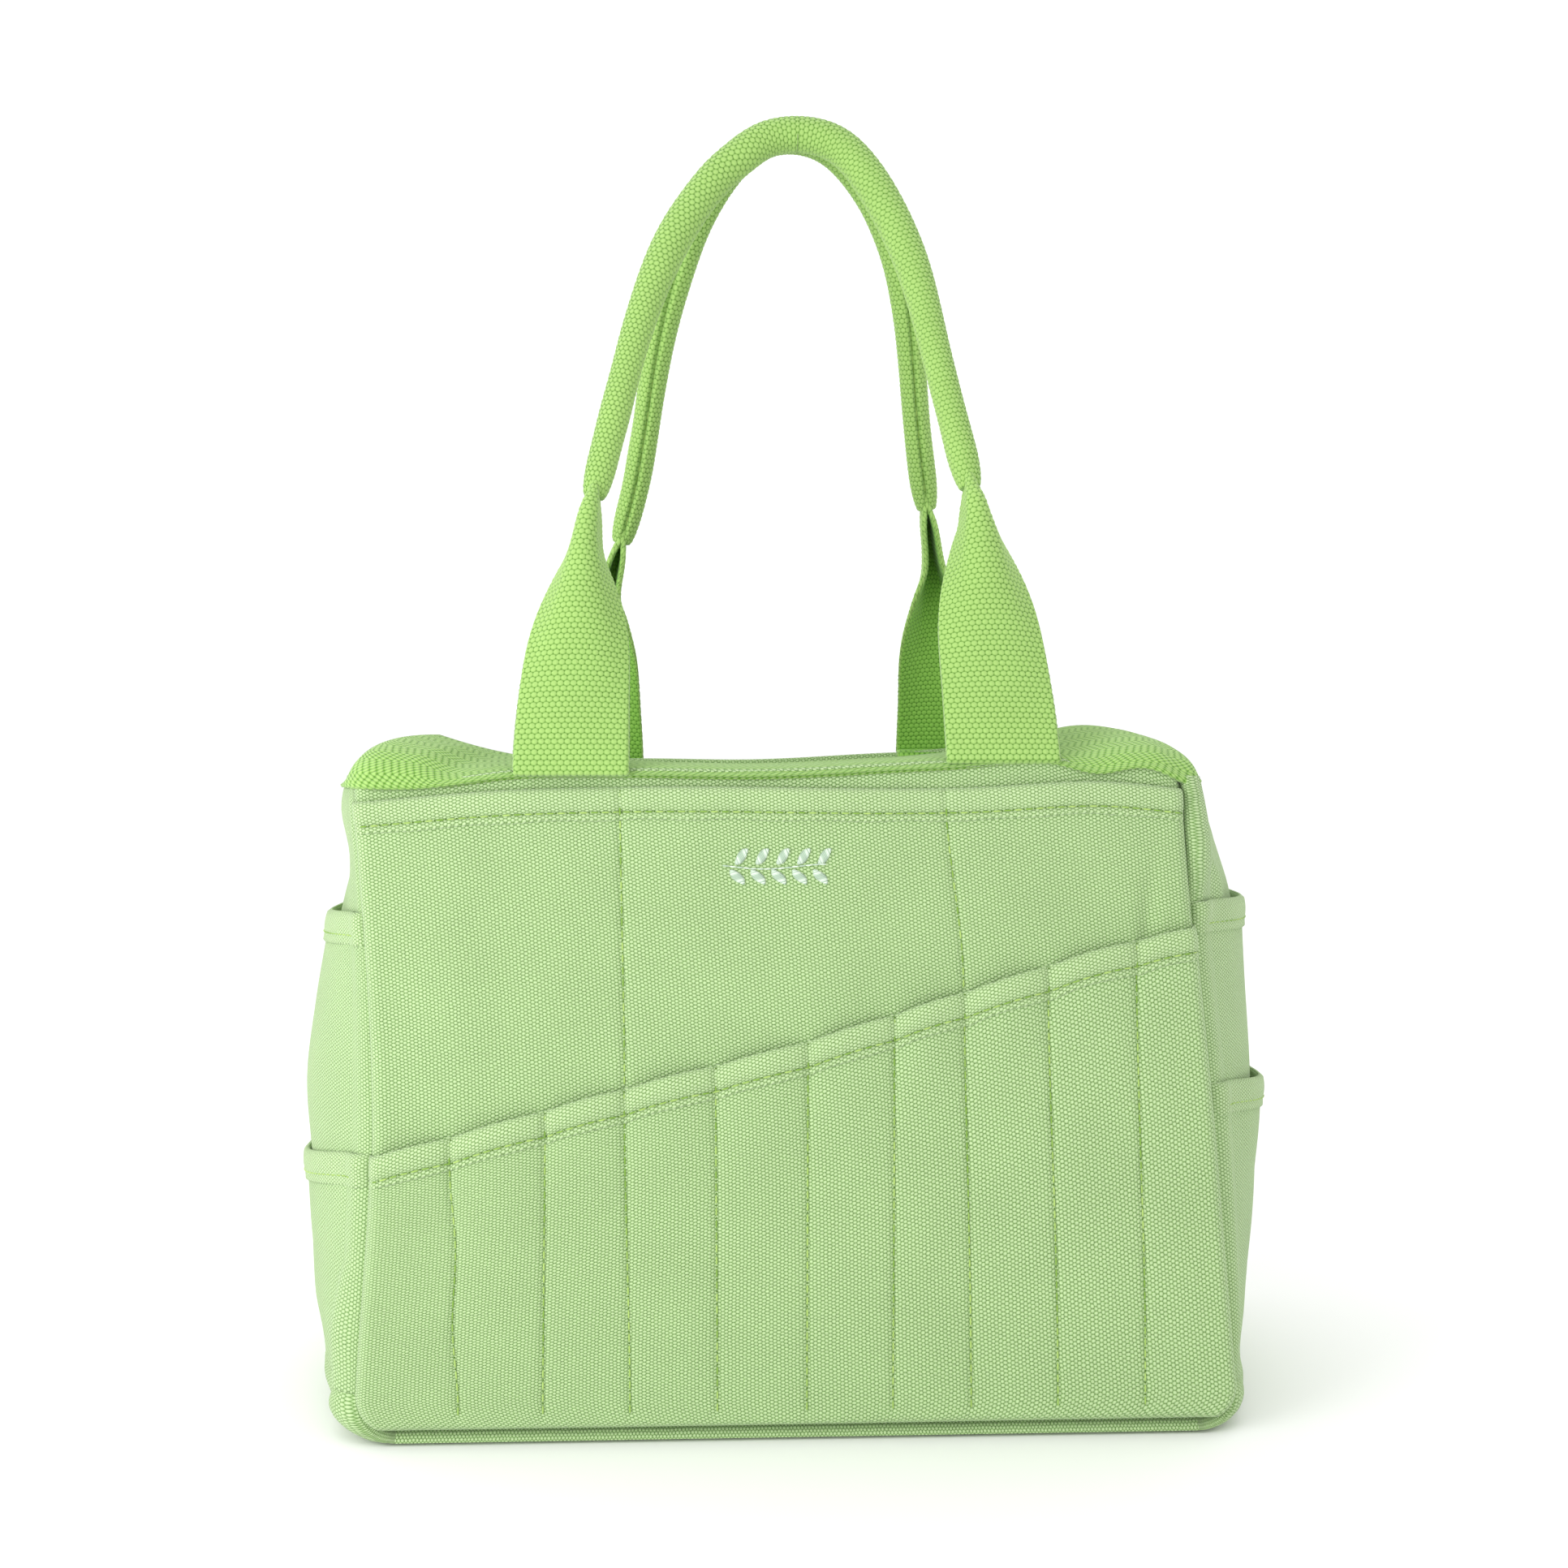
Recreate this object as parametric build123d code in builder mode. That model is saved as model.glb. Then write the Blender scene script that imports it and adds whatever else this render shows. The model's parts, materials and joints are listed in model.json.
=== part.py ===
"""Garden tool bag: an open canvas tote with ten tool slots and two webbing handles.

Millimetres, +Z up. The origin is the middle of the flat base, on the ground.
The front, with the slanted pocket, faces -Y, and +X is to the right seen from the front.
The pockets stand off the walls by one tool's thickness, as they do in use.
"""

import os
from math import cos, radians, sin

from build123d import *

os.makedirs("parts", exist_ok=True)

# ---- the bag ----
HALF_WIDTH = 154.0          # centre to the side seams
HALF_DEPTH = 85.0           # centre to the outer face of the front and back panels
PANEL_TOP = 236.0           # upper edge of the four walls
CANVAS = 1.2                # thickness of the cloth
CORNER_RADIUS = 14.0        # lower corners of the front and back panels

# ---- the base ----
TRAY_HEIGHT = 8.0           # upturned edge of the base panel
TRAY_WALL = 1.6
TRAY_CORNER = 6.0           # of its outline, seen from above
TRAY_EDGE_RADIUS = 2.0      # of its lower edge
BOARD_THICKNESS = 2.4
WALL_BOTTOM = TRAY_HEIGHT + 0.5

# ---- the side walls, seen from above: two slanted stretches and a flat one ----
SIDE_FLAT_X = [165.0, 175.0, 185.0]     # wall, upper pocket, lower pocket
SIDE_BEND_Y = [60.0, 64.0, 68.0]
SIDE_SEAM_STEP = 2.0                    # each layer is sewn this much further out
SIDE_SEAM_Y = 83.3
SIDE_BEND_RADIUS = 16.0
SIDE_HEM_STEP = 0.9         # how far a side hem stands out, in cloth thicknesses
SIDE_FLOOR_STEP = 0.8       # how far a side pocket's floor stays off the wall, in cloth thicknesses

# ---- pockets ----
POCKET_GAP = 5.2            # room for a tool between two layers
HEM_HEIGHT = 10.0
UPPER_POCKET_TOP = 231.5
COLUMN_PITCH = 30.8         # between the stitched columns of the tool slots
COLUMN_COUNT = 9
STITCH_WIDTH = 1.6
THREAD = 0.5
SLANT_MID = 142.8           # height of the slanted hem in the middle of the front
SLANT_RISE = 0.2716         # rise of the slanted hem per unit of width
SLANT_HEM_HEIGHT = 10.7

# ---- embroidered sprig ----
SPRIG_HEIGHT = 205.5        # of its stem above the ground
SPRIG_LENGTH = 40.0
SPRIG_STEM = 1.0
LEAF_PAIRS = 5
LEAF_PITCH = 7.5
LEAF_OFFSET = 2.9           # from the stem to the middle of a leaf
LEAF_TILT = 50              # degrees
LEAF_RADII = (4.2, 1.7)

# ---- rim webbing ----
WEBBING = 2.0               # thickness of the webbing
RIM_INSET = 35.0            # how far the webbing leans in over the opening
RIM_RISE = 10.0

# ---- handles ----
STRAP_WIDTH = 40.0
STRAP_X = 77.5              # centre of each strap where it is sewn in
STRAP_END_HEIGHT = 24.0
HINGE_Y = 89.0
HINGE_Z = 238.0
LEAN = 17.6                 # degrees that each handle leans in over the opening
GRIP_RADIUS = 7.5
GRIP_WALL = 2.0
CORE_CLEARANCE = 0.3
GRIP_START = 112.0          # along the handle, from the seam
# centre line of half a grip: across, and along the handle from the seam
GRIP_CORNERS = [(70.0, GRIP_START), (58.5, 168.0), (46.0, 214.0), (21.0, 264.5)]
GRIP_BENDS = [180.0, 110.0, 32.0]
# sections of a strap: along the handle, centre across, width, thickness
LEG_SECTIONS = [
    (2.2, 77.5, 40.0, 2.0),
    (30.0, 77.0, 39.0, 2.0),
    (55.0, 74.5, 36.0, 2.6),
    (78.0, 74.5, 27.0, 4.5),
    (95.0, 72.0, 17.0, 7.0),
    (111.0, 70.2, 9.0, 9.0),
]

FRONT = -1
BACK = 1


def save(piece, name):
    """Write one named sub-part."""
    piece.part.label = name
    export_step(piece.part, f"parts/{name}.step")


def plan_corners(inset):
    """Corners of the bag seen from above, drawn in by inset."""
    seam_x = HALF_WIDTH + 0.6 - inset
    flat_x = SIDE_FLAT_X[0] + 0.6 - inset
    bend_y = SIDE_BEND_Y[0] - 0.6 * inset
    depth = HALF_DEPTH - inset
    right = [(seam_x, -depth), (flat_x, -bend_y), (flat_x, bend_y), (seam_x, depth)]
    left = [(-x, -y) for x, y in right]
    return right + left


def side_line(side, layer):
    """Centre line of a side layer from the front seam to the back seam."""
    seam_x = side * (HALF_WIDTH - 0.6 + layer * SIDE_SEAM_STEP)
    flat_x = side * SIDE_FLAT_X[layer]
    bend_y = SIDE_BEND_Y[layer]
    return [(seam_x, -SIDE_SEAM_Y), (flat_x, -bend_y), (flat_x, bend_y), (seam_x, SIDE_SEAM_Y)]


def slant_top(x):
    """Height of the slanted hem's upper edge."""
    return SLANT_MID + SLANT_RISE * x


def wall_plane(facing, distance):
    """Vertical plane parallel to the front, with its normal pointing outwards."""
    return Plane(origin=(0, facing * distance, 0), x_dir=(-facing, 0, 0), z_dir=(0, facing, 0))


# ------------------------------------------------------------------ walls


def make_panel(name, facing):
    """Front or back panel: a flat sheet with rounded lower corners."""
    with BuildPart() as panel:
        with BuildSketch(wall_plane(facing, HALF_DEPTH - CANVAS)) as outline:
            with Locations((0, (PANEL_TOP + WALL_BOTTOM) / 2)):
                Rectangle(2 * HALF_WIDTH, PANEL_TOP - WALL_BOTTOM)
            fillet(outline.vertices().group_by(Axis.Y)[0], CORNER_RADIUS)
        extrude(amount=CANVAS)
    save(panel, name)


def make_side_layer(name, side, layer, bottom, top, hem=False):
    """Side wall (layer 0) or side pocket: a bowed sheet, closed below if it is a pocket."""
    line = side_line(side, layer)
    with BuildPart() as sheet:
        with BuildSketch(Plane.XY.offset(bottom)):
            with BuildLine():
                FilletPolyline(*line, radius=SIDE_BEND_RADIUS)
            trace(line_width=CANVAS)
        extrude(amount=top - bottom)
        if hem:
            grown = [(x + side * SIDE_HEM_STEP * CANVAS, y) for x, y in line]
            with BuildSketch(Plane.XY.offset(top - HEM_HEIGHT)):
                with BuildLine():
                    FilletPolyline(*grown, radius=SIDE_BEND_RADIUS)
                trace(line_width=CANVAS)
            extrude(amount=HEM_HEIGHT)
        if layer > 0:
            step = side * SIDE_FLOOR_STEP * CANVAS
            inner = [(x + step, y) for x, y in side_line(side, layer - 1)]
            with BuildSketch(Plane.XY.offset(bottom)):
                with BuildLine():
                    FilletPolyline(*line, radius=SIDE_BEND_RADIUS)
                    Line(line[-1], line[0])
                make_face()
                with BuildLine():
                    FilletPolyline(*inner, radius=SIDE_BEND_RADIUS)
                    Line(inner[-1], inner[0])
                make_face(mode=Mode.SUBTRACT)
            extrude(amount=CANVAS)
    save(sheet, name)


def make_base_panel():
    """Shallow canvas tray with a rounded lower edge."""
    with BuildPart() as tray:
        with BuildSketch() as outline:
            Polygon(*plan_corners(0), align=None)
            fillet(outline.vertices(), TRAY_CORNER)
        extrude(amount=TRAY_HEIGHT)
        fillet(tray.faces().sort_by(Axis.Z)[0].edges(), TRAY_EDGE_RADIUS)
        with BuildSketch(Plane.XY.offset(TRAY_WALL)) as hollow:
            Polygon(*plan_corners(TRAY_WALL), align=None)
            fillet(hollow.vertices(), TRAY_CORNER - 1.0)
        extrude(amount=TRAY_HEIGHT, mode=Mode.SUBTRACT)
    save(tray, "base_panel")


def make_base_board():
    """Stiff board that keeps the base flat."""
    with BuildPart() as board:
        with BuildSketch(Plane.XY.offset(TRAY_WALL)):
            RectangleRounded(2 * HALF_WIDTH - 8, 2 * HALF_DEPTH - 8, 10)
        extrude(amount=BOARD_THICKNESS)
    save(board, "base_board")


def make_seam_binding(name, facing):
    """Tape over the raw inner seam, down one side, along the base and up the other side."""
    width = 8.0
    thickness = 1.4
    outer_x = HALF_WIDTH - 2.0
    bottom = WALL_BOTTOM + 0.5
    with BuildPart() as binding:
        with BuildSketch(wall_plane(facing, HALF_DEPTH - CANVAS - thickness - 0.1)):
            with Locations((0, (PANEL_TOP + bottom) / 2)):
                Rectangle(2 * outer_x, PANEL_TOP - bottom)
            with Locations((0, (PANEL_TOP + bottom + width) / 2)):
                Rectangle(2 * (outer_x - width), PANEL_TOP - bottom - width, mode=Mode.SUBTRACT)
        extrude(amount=thickness)
    save(binding, name)


def make_rim_webbing():
    """Webbing band round the opening, leaning in over it."""
    top = PANEL_TOP + 0.2 + RIM_RISE
    with BuildPart() as rim:
        with BuildSketch(Plane.XY.offset(PANEL_TOP + 0.2)):
            Polygon(*plan_corners(-0.8), align=None)
        with BuildSketch(Plane.XY.offset(top)):
            Polygon(*plan_corners(RIM_INSET), align=None)
        loft(ruled=True)
        with BuildSketch(Plane.XY.offset(PANEL_TOP + 0.2)):
            Polygon(*plan_corners(7.0), align=None)
        with BuildSketch(Plane.XY.offset(top - WEBBING)):
            Polygon(*plan_corners(RIM_INSET + 1.0), align=None)
        loft(ruled=True, mode=Mode.SUBTRACT)
        with BuildSketch(Plane.XY.offset(PANEL_TOP)):
            Polygon(*plan_corners(RIM_INSET + 1.0), align=None)
        extrude(amount=2 * RIM_RISE, mode=Mode.SUBTRACT)
    save(rim, "rim_webbing")


# ------------------------------------------------------------------ front and back pockets


def pocket_face(layer):
    """Distance from the centre to the inner face of a front or back pocket sheet."""
    return HALF_DEPTH + layer * POCKET_GAP + (layer - 1) * CANVAS


def make_level_pocket(name, facing):
    """Full-width pocket with a level hem, sewn down along its sides and its bottom."""
    inner = pocket_face(1)
    outer = inner + CANVAS
    wall = HALF_DEPTH + 0.05
    with BuildPart() as pocket:
        with BuildSketch(Plane.YZ.offset(-HALF_WIDTH)):
            with BuildLine():
                Polyline(
                    (facing * inner, UPPER_POCKET_TOP),
                    (facing * (outer + CANVAS), UPPER_POCKET_TOP),
                    (facing * (outer + CANVAS), UPPER_POCKET_TOP - HEM_HEIGHT),
                    (facing * outer, UPPER_POCKET_TOP - HEM_HEIGHT),
                    (facing * outer, WALL_BOTTOM),
                    (facing * wall, WALL_BOTTOM),
                    (facing * wall, WALL_BOTTOM + CANVAS),
                    (facing * inner, WALL_BOTTOM + CANVAS),
                    close=True,
                )
            make_face()
        extrude(amount=2 * HALF_WIDTH)
        end_x = HALF_WIDTH - CANVAS / 2
        height = UPPER_POCKET_TOP - WALL_BOTTOM
        centre = (facing * (wall + inner) / 2, WALL_BOTTOM + height / 2)
        with Locations((-end_x, *centre), (end_x, *centre)):
            Box(CANVAS, inner - wall, height)
    save(pocket, name)


def make_slant_pocket():
    """Front pocket whose hem rises to the right, closed along its sides and its bottom."""
    inner = pocket_face(2)
    wall = pocket_face(1) + CANVAS + 0.05
    left_top = slant_top(-HALF_WIDTH)
    right_top = slant_top(HALF_WIDTH)
    with BuildPart() as pocket:
        with BuildSketch(wall_plane(FRONT, inner)):
            with BuildLine():
                Polyline(
                    (-HALF_WIDTH, WALL_BOTTOM),
                    (HALF_WIDTH, WALL_BOTTOM),
                    (HALF_WIDTH, right_top),
                    (-HALF_WIDTH, left_top),
                    close=True,
                )
            make_face()
        extrude(amount=CANVAS)
        with BuildSketch(wall_plane(FRONT, inner + CANVAS)):
            with BuildLine():
                Polyline(
                    (-HALF_WIDTH, left_top - SLANT_HEM_HEIGHT),
                    (HALF_WIDTH, right_top - SLANT_HEM_HEIGHT),
                    (HALF_WIDTH, right_top),
                    (-HALF_WIDTH, left_top),
                    close=True,
                )
            make_face()
        extrude(amount=CANVAS)
        with Locations((0, -(wall + inner) / 2, WALL_BOTTOM + CANVAS / 2)):
            Box(2 * HALF_WIDTH, inner - wall, CANVAS)
        for side, top in ((-1, left_top), (1, right_top - 1.0)):
            height = top - WALL_BOTTOM
            with Locations((side * (HALF_WIDTH - CANVAS / 2), -(wall + inner) / 2, WALL_BOTTOM + height / 2)):
                Box(CANVAS, inner - wall, height)
    save(pocket, "front_slant_pocket")


def make_columns(name, facing, layer, places):
    """Stitched columns that hold a pocket sheet to the layer behind it: (across, top) each."""
    inner = pocket_face(layer) - 0.05
    wall = inner - POCKET_GAP + 0.1
    bottom = WALL_BOTTOM + CANVAS + 0.1
    with BuildPart() as columns:
        for x, top in places:
            with Locations((x, facing * (inner + wall) / 2, (bottom + top) / 2)):
                Box(STITCH_WIDTH, inner - wall, top - bottom)
    save(columns, name)


def make_hem_stitching(name, facing, layer, left_height, right_height):
    """Row of thread along a hem, near its lower edge."""
    outer = pocket_face(layer) + 2 * CANVAS + 0.02
    half = HALF_WIDTH - 3.0
    with BuildPart() as row:
        with BuildSketch(wall_plane(facing, outer)):
            with BuildLine():
                Line((-half, left_height), (half, right_height))
            trace(line_width=2 * THREAD)
        extrude(amount=THREAD)
    save(row, name)


def make_side_hem_stitching(name, side, hem_tops):
    """Rows of thread along the hems of one side's upper and lower pockets."""
    with BuildPart() as rows:
        for layer, top in hem_tops:
            line = side_line(side, layer)
            shift = side * (1.4 * CANVAS + 0.03 + THREAD / 2)
            flat = [(x + shift, y) for x, y in line[1:3]]
            with BuildSketch(Plane.XY.offset(top - HEM_HEIGHT + 2.0)):
                with BuildLine():
                    Line(*flat)
                trace(line_width=THREAD)
            extrude(amount=2 * THREAD)
    save(rows, name)


def make_sprig():
    """Embroidered sprig: a stem with pairs of leaves."""
    with BuildPart() as sprig:
        with BuildSketch(wall_plane(FRONT, pocket_face(1) + CANVAS + 0.02)):
            with Locations((0, SPRIG_HEIGHT)):
                Rectangle(SPRIG_LENGTH, SPRIG_STEM)
            for index in range(LEAF_PAIRS):
                x = LEAF_PITCH * (index - (LEAF_PAIRS - 1) / 2)
                upper = Location((x, SPRIG_HEIGHT + LEAF_OFFSET), LEAF_TILT)
                lower = Location((x, SPRIG_HEIGHT - LEAF_OFFSET), -LEAF_TILT)
                with Locations(upper, lower):
                    Ellipse(*LEAF_RADII)
        extrude(amount=THREAD)
    save(sprig, "sprig_embroidery")


# ------------------------------------------------------------------ handles


def handle_plane(facing):
    """Plane that a handle lies in: x across, y up along the handle, z outwards."""
    lean = radians(LEAN)
    return Plane(
        origin=(0, facing * HINGE_Y, HINGE_Z),
        x_dir=(-facing, 0, 0),
        z_dir=(0, facing * cos(lean), sin(lean)),
    )


def across_handle(plane, x, along):
    """Plane across a strap, at a place on the handle."""
    return Plane(origin=plane.from_local_coords((x, along, 0)), x_dir=plane.x_dir, z_dir=plane.y_dir)


def make_strap_end(name, facing, side):
    """End of a strap, sewn in behind the panel's upper edge."""
    y = facing * (HALF_DEPTH - CANVAS - 0.1 - WEBBING / 2)
    with BuildPart() as end:
        with Locations((side * STRAP_X, y, PANEL_TOP - STRAP_END_HEIGHT / 2)):
            Box(STRAP_WIDTH, WEBBING, STRAP_END_HEIGHT)
    save(end, name)


def make_leg(name, plane, side):
    """Strap from the rim to the grip, narrowing as its edges fold together."""
    with BuildPart() as leg:
        for along, centre, width, thickness in LEG_SECTIONS:
            with BuildSketch(across_handle(plane, side * centre, along)):
                RectangleRounded(width, thickness, 0.9)
        loft(ruled=True)
    save(leg, name)


def grip_route():
    """Points of a grip's centre line, from the left strap over the top to the right one."""
    left = [(-x, along) for x, along in GRIP_CORNERS]
    return left + GRIP_CORNERS[::-1]


def make_grip(name, plane, outer, inner=0.0):
    """Round piece along the grip: the rolled webbing, or the cord inside it."""
    with BuildPart() as grip:
        with BuildLine(plane) as route:
            FilletPolyline(*grip_route(), radius=GRIP_BENDS + GRIP_BENDS[::-1])
        with BuildSketch(Plane(origin=route.wires()[0] @ 0, z_dir=route.wires()[0] % 0)):
            Circle(outer)
            if inner:
                Circle(inner, mode=Mode.SUBTRACT)
        sweep()
    save(grip, name)


def make_grip_stitching(name, plane):
    """Seam of thread along the inward side of the grip, over its two straight stretches."""
    height = -(GRIP_RADIUS + THREAD / 2 + 0.02)
    with BuildPart() as seam:
        for side in (-1, 1):
            start, end = GRIP_CORNERS[0], GRIP_CORNERS[1]
            with BuildSketch(plane.offset(height - THREAD / 2)):
                with BuildLine():
                    Line(
                        (side * (start[0] - 0.6), start[1] + 4.0),
                        (side * (end[0] + 1.0), end[1] - 12.0),
                    )
                trace(line_width=2 * THREAD)
            extrude(amount=THREAD)
    save(seam, name)


# ------------------------------------------------------------------ the whole bag

column_xs = [(index - (COLUMN_COUNT - 1) / 2) * COLUMN_PITCH for index in range(COLUMN_COUNT)]
divider_xs = [column_xs[2], column_xs[6]]

make_panel("front_panel", FRONT)
make_panel("back_panel", BACK)
make_side_layer("left_side_panel", -1, 0, WALL_BOTTOM, PANEL_TOP)
make_side_layer("right_side_panel", 1, 0, WALL_BOTTOM, PANEL_TOP)
make_base_panel()
make_base_board()
make_seam_binding("front_seam_binding", FRONT)
make_seam_binding("back_seam_binding", BACK)
make_rim_webbing()

make_level_pocket("front_upper_pocket", FRONT)
make_columns("front_upper_dividers", FRONT, 1, [(x, UPPER_POCKET_TOP) for x in divider_xs])
level_row = UPPER_POCKET_TOP - HEM_HEIGHT + 2.0
make_hem_stitching("front_upper_hem_stitching", FRONT, 1, level_row, level_row)
make_slant_pocket()
make_columns("front_slot_dividers", FRONT, 2, [(x, slant_top(x) - 1.0) for x in column_xs])
row_drop = SLANT_HEM_HEIGHT - 2.2
make_hem_stitching(
    "front_slant_hem_stitching",
    FRONT,
    2,
    slant_top(-HALF_WIDTH + 3.0) - row_drop,
    slant_top(HALF_WIDTH - 3.0) - row_drop,
)
make_sprig()
make_level_pocket("back_pocket", BACK)
make_columns("back_pocket_dividers", BACK, 1, [(x, UPPER_POCKET_TOP) for x in divider_xs])
make_hem_stitching("back_pocket_hem_stitching", BACK, 1, level_row, level_row)

# the two sides differ: the left lower pocket's hem is near the height of the slanted hem's left
# end, and the right upper pocket's hem near the height of its right end
side_pockets = {"left": (-1, 185.0, 98.0), "right": (1, 188.0, 117.0)}
for word, (side, upper_top, lower_top) in side_pockets.items():
    make_side_layer(f"{word}_upper_side_pocket", side, 1, WALL_BOTTOM, upper_top, hem=True)
    make_side_layer(f"{word}_lower_side_pocket", side, 2, WALL_BOTTOM, lower_top, hem=True)
    make_side_hem_stitching(f"{word}_side_hem_stitching", side, [(1, upper_top), (2, lower_top)])

for word, facing in (("front", FRONT), ("back", BACK)):
    plane = handle_plane(facing)
    for side_word, side in (("left", -1), ("right", 1)):
        # left and right are those of a person who looks at the bag's front
        plane_side = side * -facing
        make_strap_end(f"{word}_{side_word}_strap_end", facing, side)
        make_leg(f"{word}_{side_word}_strap", plane, plane_side)
    make_grip(f"{word}_grip", plane, GRIP_RADIUS, GRIP_RADIUS - GRIP_WALL)
    make_grip(f"{word}_grip_core", plane, GRIP_RADIUS - GRIP_WALL - CORE_CLEARANCE)
    make_grip_stitching(f"{word}_grip_stitching", plane)
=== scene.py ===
"""Looks of the garden tool bag: canvas walls and pockets, webbing rim and handles, stitching.

Shapes are worked out in millimetres in the part's own frame, and written in metres.
"""

import json
import math
from functools import partial

import bpy
import numpy as np
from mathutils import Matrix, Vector, noise


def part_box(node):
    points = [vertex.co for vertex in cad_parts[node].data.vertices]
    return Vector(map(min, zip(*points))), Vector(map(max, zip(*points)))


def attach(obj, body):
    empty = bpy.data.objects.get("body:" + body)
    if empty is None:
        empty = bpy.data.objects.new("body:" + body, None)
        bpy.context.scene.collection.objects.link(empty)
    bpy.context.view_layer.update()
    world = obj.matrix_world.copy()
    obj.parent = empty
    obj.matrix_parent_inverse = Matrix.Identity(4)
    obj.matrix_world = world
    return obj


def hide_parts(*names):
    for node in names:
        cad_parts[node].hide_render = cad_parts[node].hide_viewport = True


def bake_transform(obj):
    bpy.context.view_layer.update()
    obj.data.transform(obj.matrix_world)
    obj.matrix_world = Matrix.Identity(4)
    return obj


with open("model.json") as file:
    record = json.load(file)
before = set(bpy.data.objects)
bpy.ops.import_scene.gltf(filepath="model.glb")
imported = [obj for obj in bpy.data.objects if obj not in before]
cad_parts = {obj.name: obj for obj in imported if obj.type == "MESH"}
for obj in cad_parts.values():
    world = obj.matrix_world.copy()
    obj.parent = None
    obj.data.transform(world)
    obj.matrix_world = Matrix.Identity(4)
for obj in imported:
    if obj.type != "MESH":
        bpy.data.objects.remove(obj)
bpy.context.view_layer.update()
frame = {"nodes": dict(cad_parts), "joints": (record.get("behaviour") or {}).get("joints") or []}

MM = 0.001


def node_box(node):
    """Lowest and highest corner of a CAD node, in millimetres."""
    low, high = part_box(node)
    return np.array(low) / MM, np.array(high) / MM


# ---- sizes taken from the frame ----
PANEL_LOW, PANEL_HIGH = node_box("front_panel")
WALL_Y = -PANEL_LOW[1]  # centre to the outer face of the front wall
RIM_Z = PANEL_HIGH[2]  # upper edge of the walls
STRAP_LOW, STRAP_HIGH = node_box("front_right_strap_end")
STRAP_WIDTH = STRAP_HIGH[0] - STRAP_LOW[0]
STRAP_X = (STRAP_HIGH[0] + STRAP_LOW[0]) / 2
JOINTS = {joint["name"]: joint for joint in frame["joints"]}
HINGE = np.array(JOINTS["front_handle_swing"]["pos_m"]) / MM

# ---- cloth ----
CANVAS = 1.2
HEM_CLOTH = 1.3  # a folded hem
WEBBING = 2.0
TAPE = 0.8
EDGE_ROUND = 0.45  # how far a cut edge rounds out, as a share of the cloth's thickness
LAYER = 1.5  # one canvas layer and the air behind it
LAYER_SPREAD = 0.8  # how much further to each side a layer reaches than the one below it
SEAM_ROLL = 4.0  # how far a seam lies behind the face of the wall
SEAM_Y = WALL_Y - SEAM_ROLL
SEAM_Z = 5.0  # the seam round the base
CORNER = 13.0  # lower corners of the front and back
CORNER_BULGE = 5.0  # how far the base's upturned corners swell sideways
BASE_ROLL = 5.0  # how much more the base rolls out past its seam than the sides do

# ---- sewing ----
SLOT_PITCH = 30.8
MIDDLE_COLUMN = 4
COLUMN_FOOT = 10  # where the columns of stitches start
# how far each column of stitches strays from even spacing, at the base and at the hem
COLUMN_STRAY = [
    (2.9, 1.7), (2.8, 3.7), (2.8, 0.8), (3.0, 2.4), (4.1, 4.4),
    (4.1, 4.4), (1.4, -1.2), (1.9, -1.9), (2.7, -0.8),
]
FIRST_COLUMN_WAVE = 0.8  # the first column is sewn in a wave
WAVE_LENGTH = 9.0
# dividers of the upper pocket: the column each runs on into, and its place at the top
DIVIDERS = [(2, -62.4), (6, 53.6)]
DIVIDER_TOP = 236
STITCH = 4.2  # from one stitch to the next
STITCH_SHARE = 0.74  # how much of that the stitch itself takes up
THREAD = 0.62

UPPER_HEM = [(-158, 227.5), (-101, 232.0), (-60, 233.0), (60, 232.5), (116, 234.5), (140, 232.0)]
SLANT_HEM = [(-152, 102.0), (-61, 126.5), (4, 143.0), (60, 160.0), (122, 178.0), (147, 183.0)]
HEM = 10.3
SLANT_ENDS = (-155, 148)  # where the slanted hem's first and last slots end
HEM_ROWS = {1: (-154.5, 139.5), 2: (-150, 145)}  # where a hem's row of stitches starts and stops
SIDE_ROW = 7.6  # how far below its fold a side hem is stitched

# side walls and pockets: (height, how far the cloth bows out there)
BOWS = {
    (-1, 0): [
        (0, 20), (22, 23), (60, 28), (110, 31), (160, 26), (190, 20), (208, 17), (226, 19), (240, 12),
    ],
    (-1, 1): [(18, 20), (90, 34), (120, 37), (150, 33), (186, 25)],
    (-1, 2): [(18, 20), (50, 30), (80, 35), (104, 37)],
    (1, 0): [(0, 16), (22, 16), (60, 24), (110, 29), (160, 30), (200, 27), (225, 20), (240, 10)],
    (1, 1): [(18, 14), (70, 28), (120, 33), (160, 34), (192, 35)],
    (1, 2): [(18, 14), (53, 25), (80, 31), (104, 36), (126, 38)],
}
# side pockets: height of the hem at the front seam, and how much lower it hangs in the middle
SIDE_HEMS = {(-1, 1): (188, 4), (-1, 2): (102, 11), (1, 1): (191, 3), (1, 2): (125, 8)}
POCKET_FOOT = 17.5  # where the side pockets are sewn to the base's upturned ends

# across positions of the side seams against height: front right, front left, and both of the back
RIGHT_SEAM = [(0, 161), (14, 159.5), (115, 150.8), (232, 140), (242, 139.5)]
LEFT_SEAM = [(0, -156), (20, -155), (105, -150), (196, -154), (240, -158)]
BACK_SEAM = [(0, 158), (110, 151), (242, 149)]

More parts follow.
